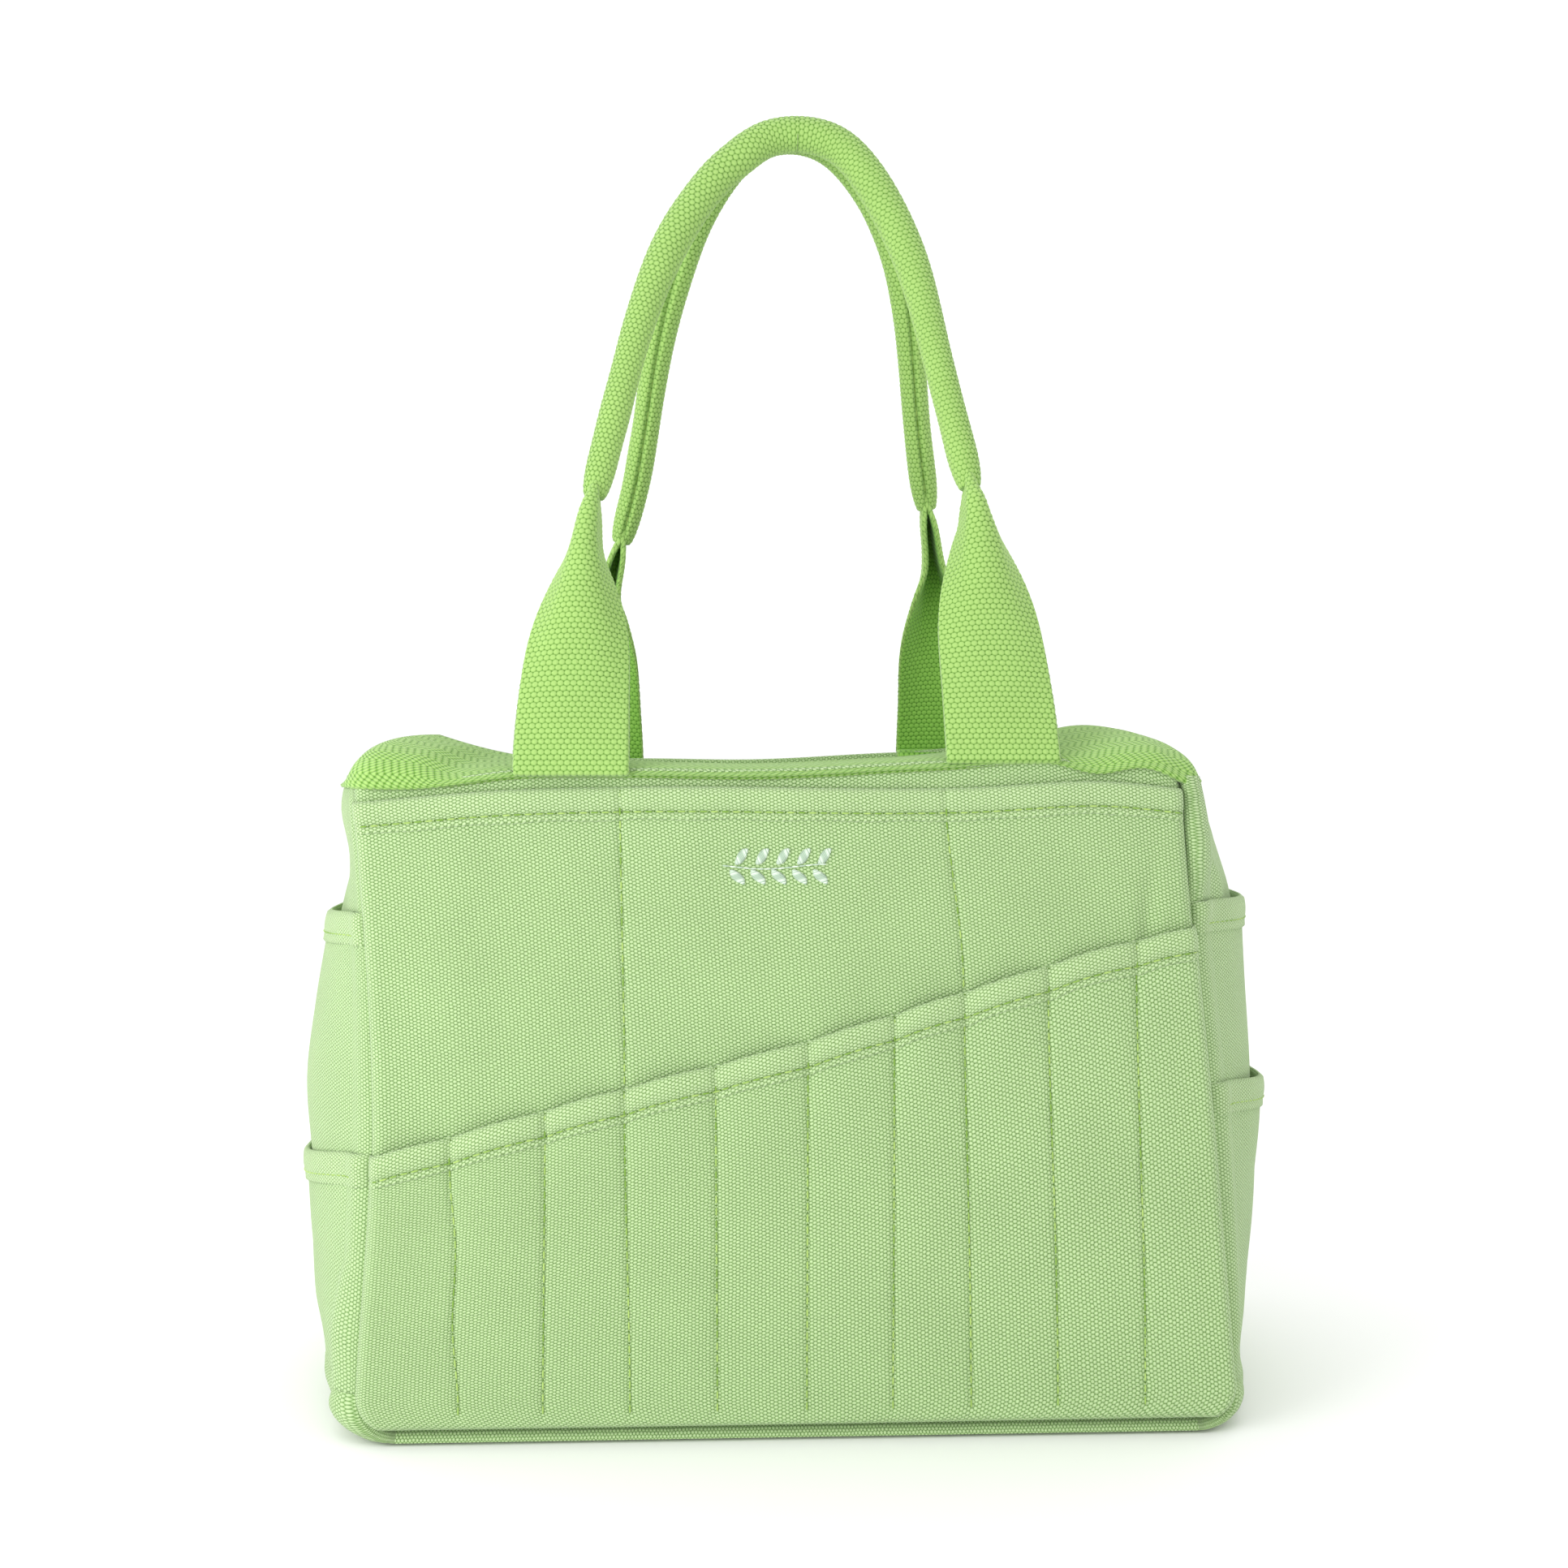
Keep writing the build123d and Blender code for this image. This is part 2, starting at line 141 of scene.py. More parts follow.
# ---- swells and folds ----
WALL_TURN = 5.0  # over what width a wall turns back to its side seams
BASE_TURN = 3.2  # over what height it turns back to the base seam
BELLY = 1.8  # swell of a whole wall
WALL_FOLDS = [(1.3, 70, 90, 3.3), (0.5, 24, 40, 7.1)]  # (height, width, length, seed)
BACK_SEED = 9  # added to a fold's seed on the back
UPPER_PUFF = 0.9  # swell between the upper pocket's dividers
UPPER_DENT = (0.7, 1.2)  # depth and width of the dent along a divider
SLOT_PUFF = 0.6  # swell of a tool slot
MOUTH_PUFF = 2.2  # how much more it swells at its mouth
SLOT_DENT = (0.6, 1.1)  # depth and width of the dent along a column of stitches
SIDE_FOLD = 4.5  # wide and narrow folds of the sides
SIDE_CREASE = 1.2
PINCH = 6.0  # how far the right side's front edge is pinched out below the rim
FLARES = {-1: (10.5, 35, 110), 1: (5.0, 22, 50)}  # (how far the sides' foot flares, fading from, to)
TUCK = 3.2  # the small tuck in the right side's front, below the rim
EDGE_ROLL = 1.4  # how far a side's edges roll forward and back past their seams
EDGE_SHARE = 0.055  # over what share of the side they do


# ---- curves and grids ----


def ease(value, low, high):
    """0 below low, 1 above high, smooth between."""
    t = np.clip((value - low) / (high - low), 0, 1)
    return t * t * (3 - 2 * t)


def hump(value, centre, width):
    """Bell curve of height 1."""
    return np.exp(-(((value - centre) / width) ** 2))


def through(value, points):
    """Smooth curve through (place, height) points, level beyond its ends."""
    place, height = np.array(points, float).T
    slope = np.gradient(height, place)
    i = np.clip(np.searchsorted(place, value) - 1, 0, len(place) - 2)
    span = place[i + 1] - place[i]
    t = np.clip((value - place[i]) / span, 0, 1)
    start = (2 * t**3 - 3 * t**2 + 1) * height[i] + (t**3 - 2 * t**2 + t) * span * slope[i]
    end = (3 * t**2 - 2 * t**3) * height[i + 1] + (t**3 - t**2) * span * slope[i + 1]
    return start + end


def rumple(a, b, size_a, size_b, seed):
    """Smooth random hills, from about -1 to 1, over two coordinates in millimetres."""
    a, b = np.broadcast_arrays(a, b)
    flat = [noise.noise(Vector((p / size_a, q / size_b, seed))) for p, q in zip(a.ravel(), b.ravel())]
    return np.reshape(flat, a.shape)


def arch(share):
    """0 at both ends of a share from 0 to 1, and 1 in its middle."""
    return np.sin(np.pi * np.clip(share, 0, 1))


def within(share, width):
    """0 at both ends of a share from 0 to 1, and 1 further in than the width."""
    return ease(share, 0, width) * ease(1 - share, 0, width)


def stack(*columns):
    """Points from arrays of coordinates."""
    return np.stack(np.broadcast_arrays(*columns), axis=-1).astype(float)


def unit(vectors):
    return vectors / np.maximum(np.linalg.norm(vectors, axis=-1, keepdims=True), 1e-9)


def facing(points, closed=False):
    """Unit normals of a grid of points."""
    if closed:
        along = np.roll(points, -1, axis=1) - np.roll(points, 1, axis=1)
    else:
        along = np.gradient(points, axis=1)
    return unit(np.cross(along, np.gradient(points, axis=0)))


def quads(rows, cols, closed=False):
    """Four corners, as (row, column), of each face of a grid."""
    r, c = np.meshgrid(np.arange(rows - 1), np.arange(cols if closed else cols - 1), indexing="ij")
    return np.stack([r, c, r, c + 1, r + 1, c + 1, r + 1, c], axis=-1).reshape(-1, 4, 2)


def add_mesh(name, points, faces, corner_uv, materials, face_material=None):
    """One object from points in millimetres, faces, and a place in the cloth for each face corner."""
    mesh = bpy.data.meshes.new(name)
    sizes = np.array([len(face) for face in faces])
    mesh.vertices.add(len(points))
    mesh.vertices.foreach_set("co", (np.asarray(points) * MM).ravel())
    mesh.loops.add(int(sizes.sum()))
    mesh.loops.foreach_set("vertex_index", np.concatenate([np.asarray(face) for face in faces]))
    mesh.polygons.add(len(faces))
    mesh.polygons.foreach_set("loop_start", np.concatenate([[0], np.cumsum(sizes)[:-1]]))
    mesh.polygons.foreach_set("loop_total", sizes)
    mesh.polygons.foreach_set("use_smooth", np.ones(len(faces), bool))
    layer = mesh.uv_layers.new(name="cloth")
    layer.data.foreach_set("uv", np.asarray(corner_uv, float).ravel())
    for material in materials:
        mesh.materials.append(material)
    if face_material is not None:
        mesh.polygons.foreach_set("material_index", np.asarray(face_material, np.int32))
    mesh.update(calc_edges=True)
    mesh.validate()
    piece = bpy.data.objects.new(name + "_skin", mesh)
    bpy.context.scene.collection.objects.link(piece)
    return piece


def cloth(name, outer, uv, thickness, material, closed=False, inner=None, inner_shade_look=None):
    """Sheet of cloth with two faces and a rounded edge, from its outer face; a second look, if given, goes
    on the inner face as painted shade.
    """
    rows, cols = outer.shape[:2]
    if inner is None:
        inner = outer - facing(outer, closed) * thickness
    faces = quads(rows, cols, closed)
    index = faces[..., 0] * cols + faces[..., 1] % cols
    count = rows * cols
    if closed:
        loops = [np.arange(cols), (rows - 1) * cols + np.arange(cols)[::-1]]
        nexts = [np.arange(cols) + cols, (rows - 2) * cols + np.arange(cols)[::-1]]
    else:
        top, bottom = np.arange(cols), (rows - 1) * cols + np.arange(cols)
        left, right = np.arange(rows) * cols, np.arange(rows) * cols + cols - 1
        loops = [np.concatenate([top[:-1], right[:-1], bottom[:0:-1], left[:0:-1]])]
        steps_in = [top[:-1] + cols, right[:-1] - 1, bottom[:0:-1] - cols, left[:0:-1] + 1]
        nexts = [np.concatenate(steps_in)]
    flat_outer, flat_inner = outer.reshape(-1, 3), inner.reshape(-1, 3)
    points = [flat_outer, flat_inner]
    all_faces = [index, index[:, ::-1] + count]
    flat_uv = uv.reshape(-1, 2)
    wide = uv.shape[1]
    face_uv = flat_uv[faces[..., 0] * wide + faces[..., 1]]
    all_uv = [face_uv, face_uv[:, ::-1]]
    placed = 2 * count
    for loop, inside in zip(loops, nexts):
        outwards = unit(flat_outer[loop] - flat_outer[inside])
        middle = (flat_outer[loop] + flat_inner[loop]) / 2 + outwards * thickness * EDGE_ROUND
        points.append(middle)
        size = len(loop)
        here, after = np.arange(size), (np.arange(size) + 1) % size
        rim_uv = flat_uv[np.minimum(loop // cols * wide + loop % cols, len(flat_uv) - 1)]
        next_uv = np.where(here[:, None] < size - 1, rim_uv[after], rim_uv)
        for step, first, second in ((0, loop, placed + here), (1, placed + here, loop + count)):
            strip = np.stack([first[after], first[here], second[here], second[after]], axis=-1)
            all_faces.append(strip)
            near, far = thickness / 2 * step, thickness / 2 * (step + 1)
            all_uv.append(np.stack([next_uv + near, rim_uv + near, rim_uv + far, next_uv + far], axis=1))
        placed += size
    points, faces, corner_uv = (np.concatenate(part) for part in (points, all_faces, all_uv))
    if inner_shade_look is None:
        return add_mesh(name, points, faces, corner_uv, [material])
    # The inner faces take the second look: a darker copy of the material, which is painted shade.
    on_inner = np.zeros(len(faces), int)
    on_inner[len(index):2 * len(index)] = 1
    return add_mesh(name, points, faces, corner_uv, [material, inner_shade_look], on_inner)


def tube(name, rings, uv, material):
    """Closed tube from rings of points, with a cap at each end. uv has one more column than rings."""
    rows, cols = rings.shape[:2]
    faces = quads(rows, cols, closed=True)
    index = faces[..., 0] * cols + faces[..., 1] % cols
    points = rings.reshape(-1, 3)
    wide = uv.shape[1]
    face_uv = uv.reshape(-1, 2)[faces[..., 0] * wide + faces[..., 1]]
    caps = [list(range(cols))[::-1], list((rows - 1) * cols + np.arange(cols))]
    all_faces = [list(face) for face in index] + caps
    cap_uv = np.zeros((2 * cols, 2))
    all_uv = np.concatenate([face_uv.reshape(-1, 2), cap_uv])
    return add_mesh(name, points, all_faces, all_uv, [material])


def travel(line):
    """Distance along a line of points, from 0."""
    return np.concatenate([[0], np.cumsum(np.linalg.norm(np.diff(line, axis=0), axis=1))])


def along_line(spots, travelled, line):
    """Points of a line at distances along it."""
    return np.stack([np.interp(spots, travelled, line[:, i]) for i in range(line.shape[1])], axis=-1)


def cloth_uv(points, closed=False):
    """Place in the cloth of each point: distance across and distance along, in millimetres."""
    if closed:
        points = np.concatenate([points, points[:, :1]], axis=1)
    u = travel(points[points.shape[0] // 2])
    v = travel(points[:, points.shape[1] // 2])
    return np.stack(np.meshgrid(u, v), axis=-1)


# ---- materials ----


class Recipe:
    """Short way to write a material's nodes."""

    def __init__(self, name):
        self.material = bpy.data.materials.new(name)
        self.material.use_nodes = True
        self.tree = self.material.node_tree
        self.shader = self.tree.nodes["Principled BSDF"]

    def node(self, kind, **settings):
        made = self.tree.nodes.new(kind)
        for key, value in settings.items():
            setattr(made, key, value)
        return made

    def link(self, source, target):
        self.tree.links.new(source, target)

    def math(self, operation, *values):
        made = self.node("ShaderNodeMath", operation=operation)
        for socket, value in zip(made.inputs, values):
            if isinstance(value, (int, float)):
                socket.default_value = value
            else:
                self.link(value, socket)
        return made.outputs[0]

    def noise_node(self, place, scale, detail):
        made = self.node("ShaderNodeTexNoise")
        made.inputs["Scale"].default_value = scale
        made.inputs["Detail"].default_value = detail
        self.link(place, made.inputs["Vector"])
        return made

    def noise(self, place, scale, detail):
        return self.noise_node(place, scale, detail).outputs["Fac"]

    def cloth_place(self, wander):
        """The two cloth coordinates, in millimetres, with threads that wander a little."""
        place = self.node("ShaderNodeUVMap", uv_map="cloth").outputs[0]
        blur = self.noise_node(place, scale=0.22, detail=2.0)
        split = self.node("ShaderNodeSeparateXYZ")
        self.link(place, split.inputs[0])
        shift = self.node("ShaderNodeSeparateColor")
        self.link(blur.outputs["Color"], shift.inputs[0])
        u = self.math("ADD", split.outputs[0], self.math("MULTIPLY", shift.outputs[0], wander))
        v = self.math("ADD", split.outputs[1], self.math("MULTIPLY", shift.outputs[1], wander))
        return place, u, v

    def ramp(self, value, stops):
        made = self.node("ShaderNodeValToRGB")
        while len(made.color_ramp.elements) < len(stops):
            made.color_ramp.elements.new(0.5)
        for element, (place, colour) in zip(made.color_ramp.elements, stops):
            element.position = place
            element.color = (*colour, 1)
        self.link(value, made.inputs[0])
        return made.outputs[0]

    def scaled(self, colour, value, low, high):
        """The colour made darker or lighter by a value from 0 to 1."""
        span = self.node("ShaderNodeMapRange")
        span.inputs["To Min"].default_value = low
        span.inputs["To Max"].default_value = high
        self.link(value, span.inputs["Value"])
        mix = self.node("ShaderNodeMix", data_type="RGBA", blend_type="MULTIPLY")
        mix.inputs["Factor"].default_value = 1
        self.link(colour, mix.inputs["A"])
        self.link(span.outputs[0], mix.inputs["B"])
        return mix.outputs["Result"]

    def finish(self, colour, height, bump_mm, roughness, sheen):
        self.link(colour, self.shader.inputs["Base Color"])
        made = self.node("ShaderNodeBump")
        made.inputs["Strength"].default_value = 1
        made.inputs["Distance"].default_value = bump_mm * MM
        self.link(height, made.inputs["Height"])
        self.link(made.outputs[0], self.shader.inputs["Normal"])
        settings = {
            "Roughness": roughness,
            "Specular IOR Level": 0.15,
            "Sheen Weight": sheen,
            "Sheen Roughness": 0.45,
            "Sheen Tint": (0.93, 1.0, 0.86, 1),
        }
        for socket, value in settings.items():
            self.shader.inputs[socket].default_value = value
        return self.material


# weaves, in millimetres: spacing of the columns, length of a seed, and a seed's half size as
# shares of the spacing and of half the length
CANVAS_COLUMN = 1.32
CANVAS_SEED = 1.29
CANVAS_REACH = (0.62, 1.0)
RIB = 1.17
PICK = 3.9
BEAD_REACH = (1.1, 0.6)
RIBS_ROUND_GRIP = 34
RELIEF = 0.55  # how far a bump of the webbing stands up
HERRINGBONE = 5.0  # width of one leg of the rim's zigzag
HERRINGBONE_SLANT = 0.8
HERRINGBONE_YARN = (1.0, 2.6)


def seeds(recipe, u, v, across, along, reach=(0.8, 0.8)):
    """Height of a weave that shows as columns of seeds, each column half a seed on from the last."""
    near_u = recipe.math("DIVIDE", recipe.math("PINGPONG", u, across), across * reach[0])
    near_v = recipe.math("DIVIDE", recipe.math("PINGPONG", v, along / 2), along / 2 * reach[1])
    far_u = recipe.math("SUBTRACT", 1 / reach[0], near_u)
    far_v = recipe.math("SUBTRACT", 1 / reach[1], near_v)
    domes = []
    for du, dv in ((near_u, near_v), (far_u, far_v)):
        square = recipe.math("ADD", recipe.math("MULTIPLY", du, du), recipe.math("MULTIPLY", dv, dv))
        domes.append(recipe.math("SUBTRACT", 1.0, square))
    return recipe.math("SQRT", recipe.math("MAXIMUM", recipe.math("MAXIMUM", *domes), 0.0))


def canvas_material(name, dark, light):
    recipe = Recipe(name)
    place, u, v = recipe.cloth_place(wander=0.9)
    weave = seeds(recipe, u, v, CANVAS_COLUMN, CANVAS_SEED, CANVAS_REACH)
    slub = recipe.noise(place, scale=1.1, detail=4.0)
    height = recipe.math("MULTIPLY_ADD", slub, 0.8, weave)
    # The ramp by the weave's height is painted shade in the hollows between the seeds and painted
    # highlight on their tops.
    colour = recipe.ramp(weave, [(0.2, dark), (0.95, light)])
    colour = recipe.scaled(colour, slub, 0.74, 1.24)
    colour = recipe.scaled(colour, recipe.noise(place, scale=0.035, detail=3.0), 0.93, 1.07)
    return recipe.finish(colour, height, bump_mm=0.28, roughness=0.9, sheen=0.35)


def webbing_material(name, dark, light):
    """Coarse webbing whose bumps are in the mesh: colour by hollow and crest, which paints shade into the
    hollows and highlight onto the crests; fibres as bump.
    """
    recipe = Recipe(name)
    place, u, v = recipe.cloth_place(wander=0.0)
    crest = seeds(recipe, u, v, RIB, PICK, BEAD_REACH)
    fibre = recipe.noise(place, scale=2.6, detail=4.0)
    colour = recipe.ramp(crest, [(0.05, dark), (0.8, light)])
    colour = recipe.scaled(colour, fibre, 0.86, 1.12)
    colour = recipe.scaled(colour, recipe.noise(place, scale=0.05, detail=2.0), 0.94, 1.06)
    return recipe.finish(colour, fibre, bump_mm=0.18, roughness=0.88, sheen=0.35)


def herringbone_material(name, dark, light):
    recipe = Recipe(name)
    place, u, v = recipe.cloth_place(wander=0.5)
    zigzag = recipe.math("PINGPONG", v, HERRINGBONE)
    slanted = recipe.math("ADD", u, recipe.math("MULTIPLY", zigzag, HERRINGBONE_SLANT))
    height = seeds(recipe, v, slanted, *HERRINGBONE_YARN)
    # The ramp by the yarn's height is painted shade between the yarns and painted highlight on their tops.
    colour = recipe.ramp(height, [(0.15, dark), (0.95, light)])
    colour = recipe.scaled(colour, recipe.noise(place, scale=1.2, detail=4.0), 0.88, 1.12)
    return recipe.finish(colour, height, bump_mm=0.4, roughness=0.9, sheen=0.35)


def thread_material(name, dark, light):
    recipe = Recipe(name)
    _, u, v = recipe.cloth_place(wander=0.0)
    twist = recipe.math("SINE", recipe.math("MULTIPLY", recipe.math("ADD", u, v), 9.0))
    colour = recipe.ramp(recipe.math("MULTIPLY_ADD", twist, 0.5, 0.5), [(0.0, dark), (1.0, light)])
    return recipe.finish(colour, twist, bump_mm=0.05, roughness=0.75, sheen=0.2)


def plain_material(name, colour):
    recipe = Recipe(name)
    place = recipe.node("ShaderNodeTexCoord").outputs["Object"]
    grain = recipe.noise(place, scale=900.0, detail=3.0)
    tone = recipe.ramp(grain, [(0.3, tuple(0.8 * c for c in colour)), (0.7, colour)])
    return recipe.finish(tone, grain, bump_mm=0.1, roughness=0.9, sheen=0.1)


CANVAS_LOOK = canvas_material("canvas", (0.13, 0.27, 0.055), (0.475, 0.63, 0.33))
# Lighter copy of the canvas for the folded hems: painted light on their lit folds.
HEM_LIGHT_LOOK = canvas_material("canvas_hem_painted_light", (0.15, 0.29, 0.065), (0.505, 0.66, 0.355))
WEBBING_LOOK = webbing_material("webbing", (0.07, 0.20, 0.015), (0.345, 0.55, 0.155))
# Darker, greener copy of the webbing for the straps' inner faces: painted shade of the folds and the
# handle.
FOLD_SHADE_LOOK = webbing_material("webbing_inside_fold_painted_shade", (0.055, 0.20, 0.012), (0.28, 0.55, 0.10))
RIM_LOOK = herringbone_material("rim_webbing", (0.12, 0.30, 0.03), (0.36, 0.58, 0.165))
THREAD_LOOK = thread_material("sewing_thread", (0.20, 0.36, 0.06), (0.40, 0.57, 0.16))
SPRIG_LOOK = thread_material("embroidery_thread", (0.42, 0.54, 0.42), (0.72, 0.82, 0.70))
# Dark colour of the needle holes' buttons: painted shade of the holes.
HOLE_SHADE_LOOK = plain_material("needle_hole_painted_shade", (0.11, 0.23, 0.02))
TAPE_LOOK = canvas_material("seam_tape", (0.24, 0.48, 0.12), (0.42, 0.70, 0.26))
CORE_LOOK = plain_material("cotton_cord", (0.75, 0.74, 0.66))


# ---- shape of the bag ----


def side_edge(side, z, back):
    """Across position of a side seam at a height, on the front or on the back."""
    front_x = through(z, RIGHT_SEAM if side > 0 else LEFT_SEAM)
    back_x = side * through(z, BACK_SEAM)
    return front_x + (back_x - front_x) * back


def corner_inset(z):
    """How far the rounded lower corners draw the side seams in."""
    rise = np.clip(z - SEAM_Z, 0, CORNER)
    return CORNER - np.sqrt(CORNER**2 - (CORNER - rise) ** 2)


def roll(distance, reach, depth):
    """How far a wall curves back to its seam, from nothing at its reach to its whole depth."""
    t = 1 - np.clip(distance / reach, 0, 1)
    return depth * (1 - np.sqrt(np.clip(1 - t * t, 0, 1)))


def column_x(index, z):
    """Across position of a stitched column at a height."""
    low, high = COLUMN_STRAY[index]
    even = (index - MIDDLE_COLUMN) * SLOT_PITCH
    x = even + low + (high - low) * ease(z, COLUMN_FOOT, through(even, SLANT_HEM))
    if index == 0:
        x = x + FIRST_COLUMN_WAVE * np.sin(z / WAVE_LENGTH)
    return x


def divider_x(index, z):
    """Across position of the upper pocket's two dividers, which run on into two of the columns."""
    column, top = DIVIDERS[index]
    meet = through((column - MIDDLE_COLUMN) * SLOT_PITCH, SLANT_HEM)
    return column_x(column, z) + (top - column_x(column, meet)) * ease(z, meet, DIVIDER_TOP)


def slot_puff(x, lines, left, right):
    """0 on each stitched line, rising to 1 in the middle of each slot."""
    edges = [left] + lines + [right]
    puff = np.zeros_like(x)
    for low, high in zip(edges[:-1], edges[1:]):
        t = np.clip((x - low) / (high - low), 0, 1)
        puff = np.maximum(puff, np.clip(arch(t), 0, 1) ** 0.6)
    return puff


def wall_sides(z, layer, back):
    """Left and right ends of a front or back layer at a height."""
    spread = LAYER_SPREAD * layer - corner_inset(z)
    return side_edge(-1, z, back) - spread, side_edge(1, z, back) + spread


def dents(x, lines, depth, width):
    """Grooves that the stitched lines pull into a layer."""
    return depth * sum(hump(x, line, width) for line in lines)


def wall_x(across, edge, layer, back):
    """Across position on an edge whose height follows x, for a share from left seam to right seam."""
    x = SLANT_ENDS[0] + (SLANT_ENDS[1] - SLANT_ENDS[0]) * across
    for _ in range(2):
        left, right = wall_sides(edge(x), layer, back)
        x = left + across * (right - left)
    return x


def wall_point(across, z, layer, back=0, lift=0.0):
    """Outer face of a front or back layer, for a share from the left seam to the right seam."""
    left, right = wall_sides(z, layer, back)
    x = left + across * (right - left)
    depth = SEAM_ROLL + LAYER * layer
    edge = np.minimum(x - left, right - x)
    turned = np.maximum(roll(edge, WALL_TURN, depth), roll(z - SEAM_Z, BASE_TURN, depth))
    inner = ease(edge, 2, 40) * ease(z, 6, 50)
    belly = BELLY * inner * arch(z / 250)
    folds = sum(
        high * rumple(x, z, wide, long, seed + BACK_SEED * back) for high, wide, long, seed in WALL_FOLDS
    )
    folds = folds * (0.25 + 0.75 * inner)
    out = WALL_Y + LAYER * layer + belly + folds * ease(edge, 0, 14) + lift - turned
    if layer == 1:
        lines = [divider_x(0, z), divider_x(1, z)]
        out = out + UPPER_PUFF * slot_puff(x, lines, left, right) * ease(z, 60, 232)
        out = out - dents(x, lines, *UPPER_DENT)
        if not back:
            # the hollow beside the right end of the slanted hem
            out = out - 1.5 * hump(x, 127 + 0.1 * (z - 186), 3.6) * hump(z, 188, 17)
    if layer == 2:
        lines = [column_x(index, z) for index in range(len(COLUMN_STRAY))]
        below = through(x, SLANT_HEM) - z
        mouth = SLOT_PUFF + MOUTH_PUFF * (1 - ease(below, 0, 50))
        out = out + slot_puff(x, lines, left, right) * mouth * ease(z, 8, 30)
        out = out - dents(x, lines, *SLOT_DENT) * ease(z, 6, 14)
    sign = 1 if back else -1
    return stack(x, sign * out, z)


def wall_grid(cols, bottom, top, rows, layer, back=0, lift=0.0):
    """Grid of points on a front or back layer, from a level up to an edge that follows x."""
    across = np.linspace(0, 1, cols)[None, :]
    share = np.linspace(0, 1, rows)[:, None]
    high = top(wall_x(across, top, layer, back))
    z = bottom + (high - bottom) * share
    across, z = np.broadcast_arrays(across, z)
    grid = wall_point(across, z, layer, back, lift)
    return grid if not back else grid[:, ::-1]


SEAM_STEPS = 70  # points on each upright stretch of the front and back seams


def gusset_path(back):
    """Seam round the side, base and side: points (x, z) and outward directions, on one wall."""
    straight = SEAM_Z + CORNER
    down = np.linspace(RIM_Z + 1, straight, SEAM_STEPS)
    arc = np.radians(np.linspace(0, 90, 14))[1:-1]
    sides, corners, centres = [], [], []
    for side in (-1, 1):
        sides.append(stack(side_edge(side, down, back), down, side, 0))
        centres.append(float(side_edge(side, straight, back)) - side * CORNER)
        sideways, deep = side * np.cos(arc), np.sin(arc)
        corners.append(stack(centres[-1] + CORNER * sideways, straight - CORNER * deep, sideways, -deep))
    base = stack(np.linspace(*centres, 90), SEAM_Z, 0, -1)
    path = np.concatenate([sides[0], corners[0], base, corners[1][::-1], sides[1][::-1]])
    return path[:, :2], path[:, 2:]


def across_side(share):
    """0 at both seams of a side, and near 1 over most of it."""
    return 1 - np.abs(2 * share - 1) ** 2.5


def side_y(share):
    """Forward position on a side, for a share from the front seam to the back seam."""
    return -SEAM_Y + 2 * SEAM_Y * share


def side_shares(count):
    """Places across a side, from the front seam to the back seam, closer together near both."""
    share = np.linspace(0, 1, count)
    return share - 0.09 * np.sin(2 * np.pi * share) / np.pi


def gusset_grid():
    """Grid over the whole side-base-side strip: rows follow the seam, columns go front to back."""
    front, outward = gusset_path(0)
    rear, _ = gusset_path(1)
    t = side_shares(101)[None, :]
    seam = front[:, None, :] * (1 - t[..., None]) + rear[:, None, :] * t[..., None]
    z = seam[..., 1]
    side = np.sign(seam[..., 0])
    sideways = np.abs(outward[:, 0])[:, None]
    downwards = -outward[:, 1][:, None]
    stand, forward = side_shape(side, t + 0 * z, z)
    turning = 2 * sideways * downwards * within(t, 0.06)
    x = seam[..., 0] + side * (sideways**0.3 * stand + CORNER_BULGE * turning)
    flat_base = 1 - np.abs(2 * t - 1) ** 30
    pressed = 1 - 0.35 * sideways  # the base is pressed flat, and its corners nearly so
    z = z - downwards * SEAM_Z * flat_base * pressed
    y = side_y(t) - forward * (1 + BASE_ROLL * downwards)
    return stack(x, y, np.maximum(z, 0.0))


def side_folds(side, y, z):
    """Soft folds of the side walls, strongest near the rim where nothing holds them."""
    loose = 0.35 + 0.65 * ease(z, 120, 220)
    wide = SIDE_FOLD * np.where(side < 0, rumple(y, z, 38, 60, 21.0), rumple(y, z, 38, 60, 33.0))
    narrow = SIDE_CREASE * rumple(y, z, 14, 24, 5.0)
    return (wide + narrow) * loose


def side_shape(side, share, z):
    """How far a bare side stands out from its seams, and how far its edges roll forward and back."""
    y = side_y(share)
    bow = np.where(side < 0, through(z, BOWS[(-1, 0)]), through(z, BOWS[(1, 0)]))
    pinch = PINCH * ease(z, 178, 215) * (side > 0)
    stand = (bow + side_folds(side, y, z)) * across_side(share) + pinch * hump(share, 0.05, 0.026)
    left, right = (far * (1 - ease(z, low, high)) for far, low, high in (FLARES[-1], FLARES[1]))
    flare = np.where(side < 0, left, right) * within(share, 0.06)
    tuck = TUCK * (side > 0) * hump(z, 197, 10) * hump(share, 0.13, 0.045)
    stand = np.maximum(stand, flare) + tuck
    front = arch(share / EDGE_SHARE) * (EDGE_ROLL + pinch)
    rear = arch((1 - share) / EDGE_SHARE) * EDGE_ROLL
    return stand, front - rear


def side_point(side, share, z, layer, lift=0.0):
    """Outer face of a side layer, for a share from the front seam to the back seam."""
    share, z = np.broadcast_arrays(share, z)
    shape = across_side(share)
    stand, forward = side_shape(side, share, z)
    free = within(share, 0.04) * ease(z, 18, 40)
    for above in range(1, layer + 1):
        wanted = through(z, BOWS[(side, above)]) * shape
        stand = np.maximum(stand + 0.6 + 1.0 * free, wanted)
    x = side_edge(side, z, share) + side * (stand + lift * (0.25 + 0.75 * shape))
    y = side_y(share) - forward * (1 + 0.25 * layer + 0.3 * lift)
    return stack(x, y, z)


SIDE_SHARES = side_shares(90)


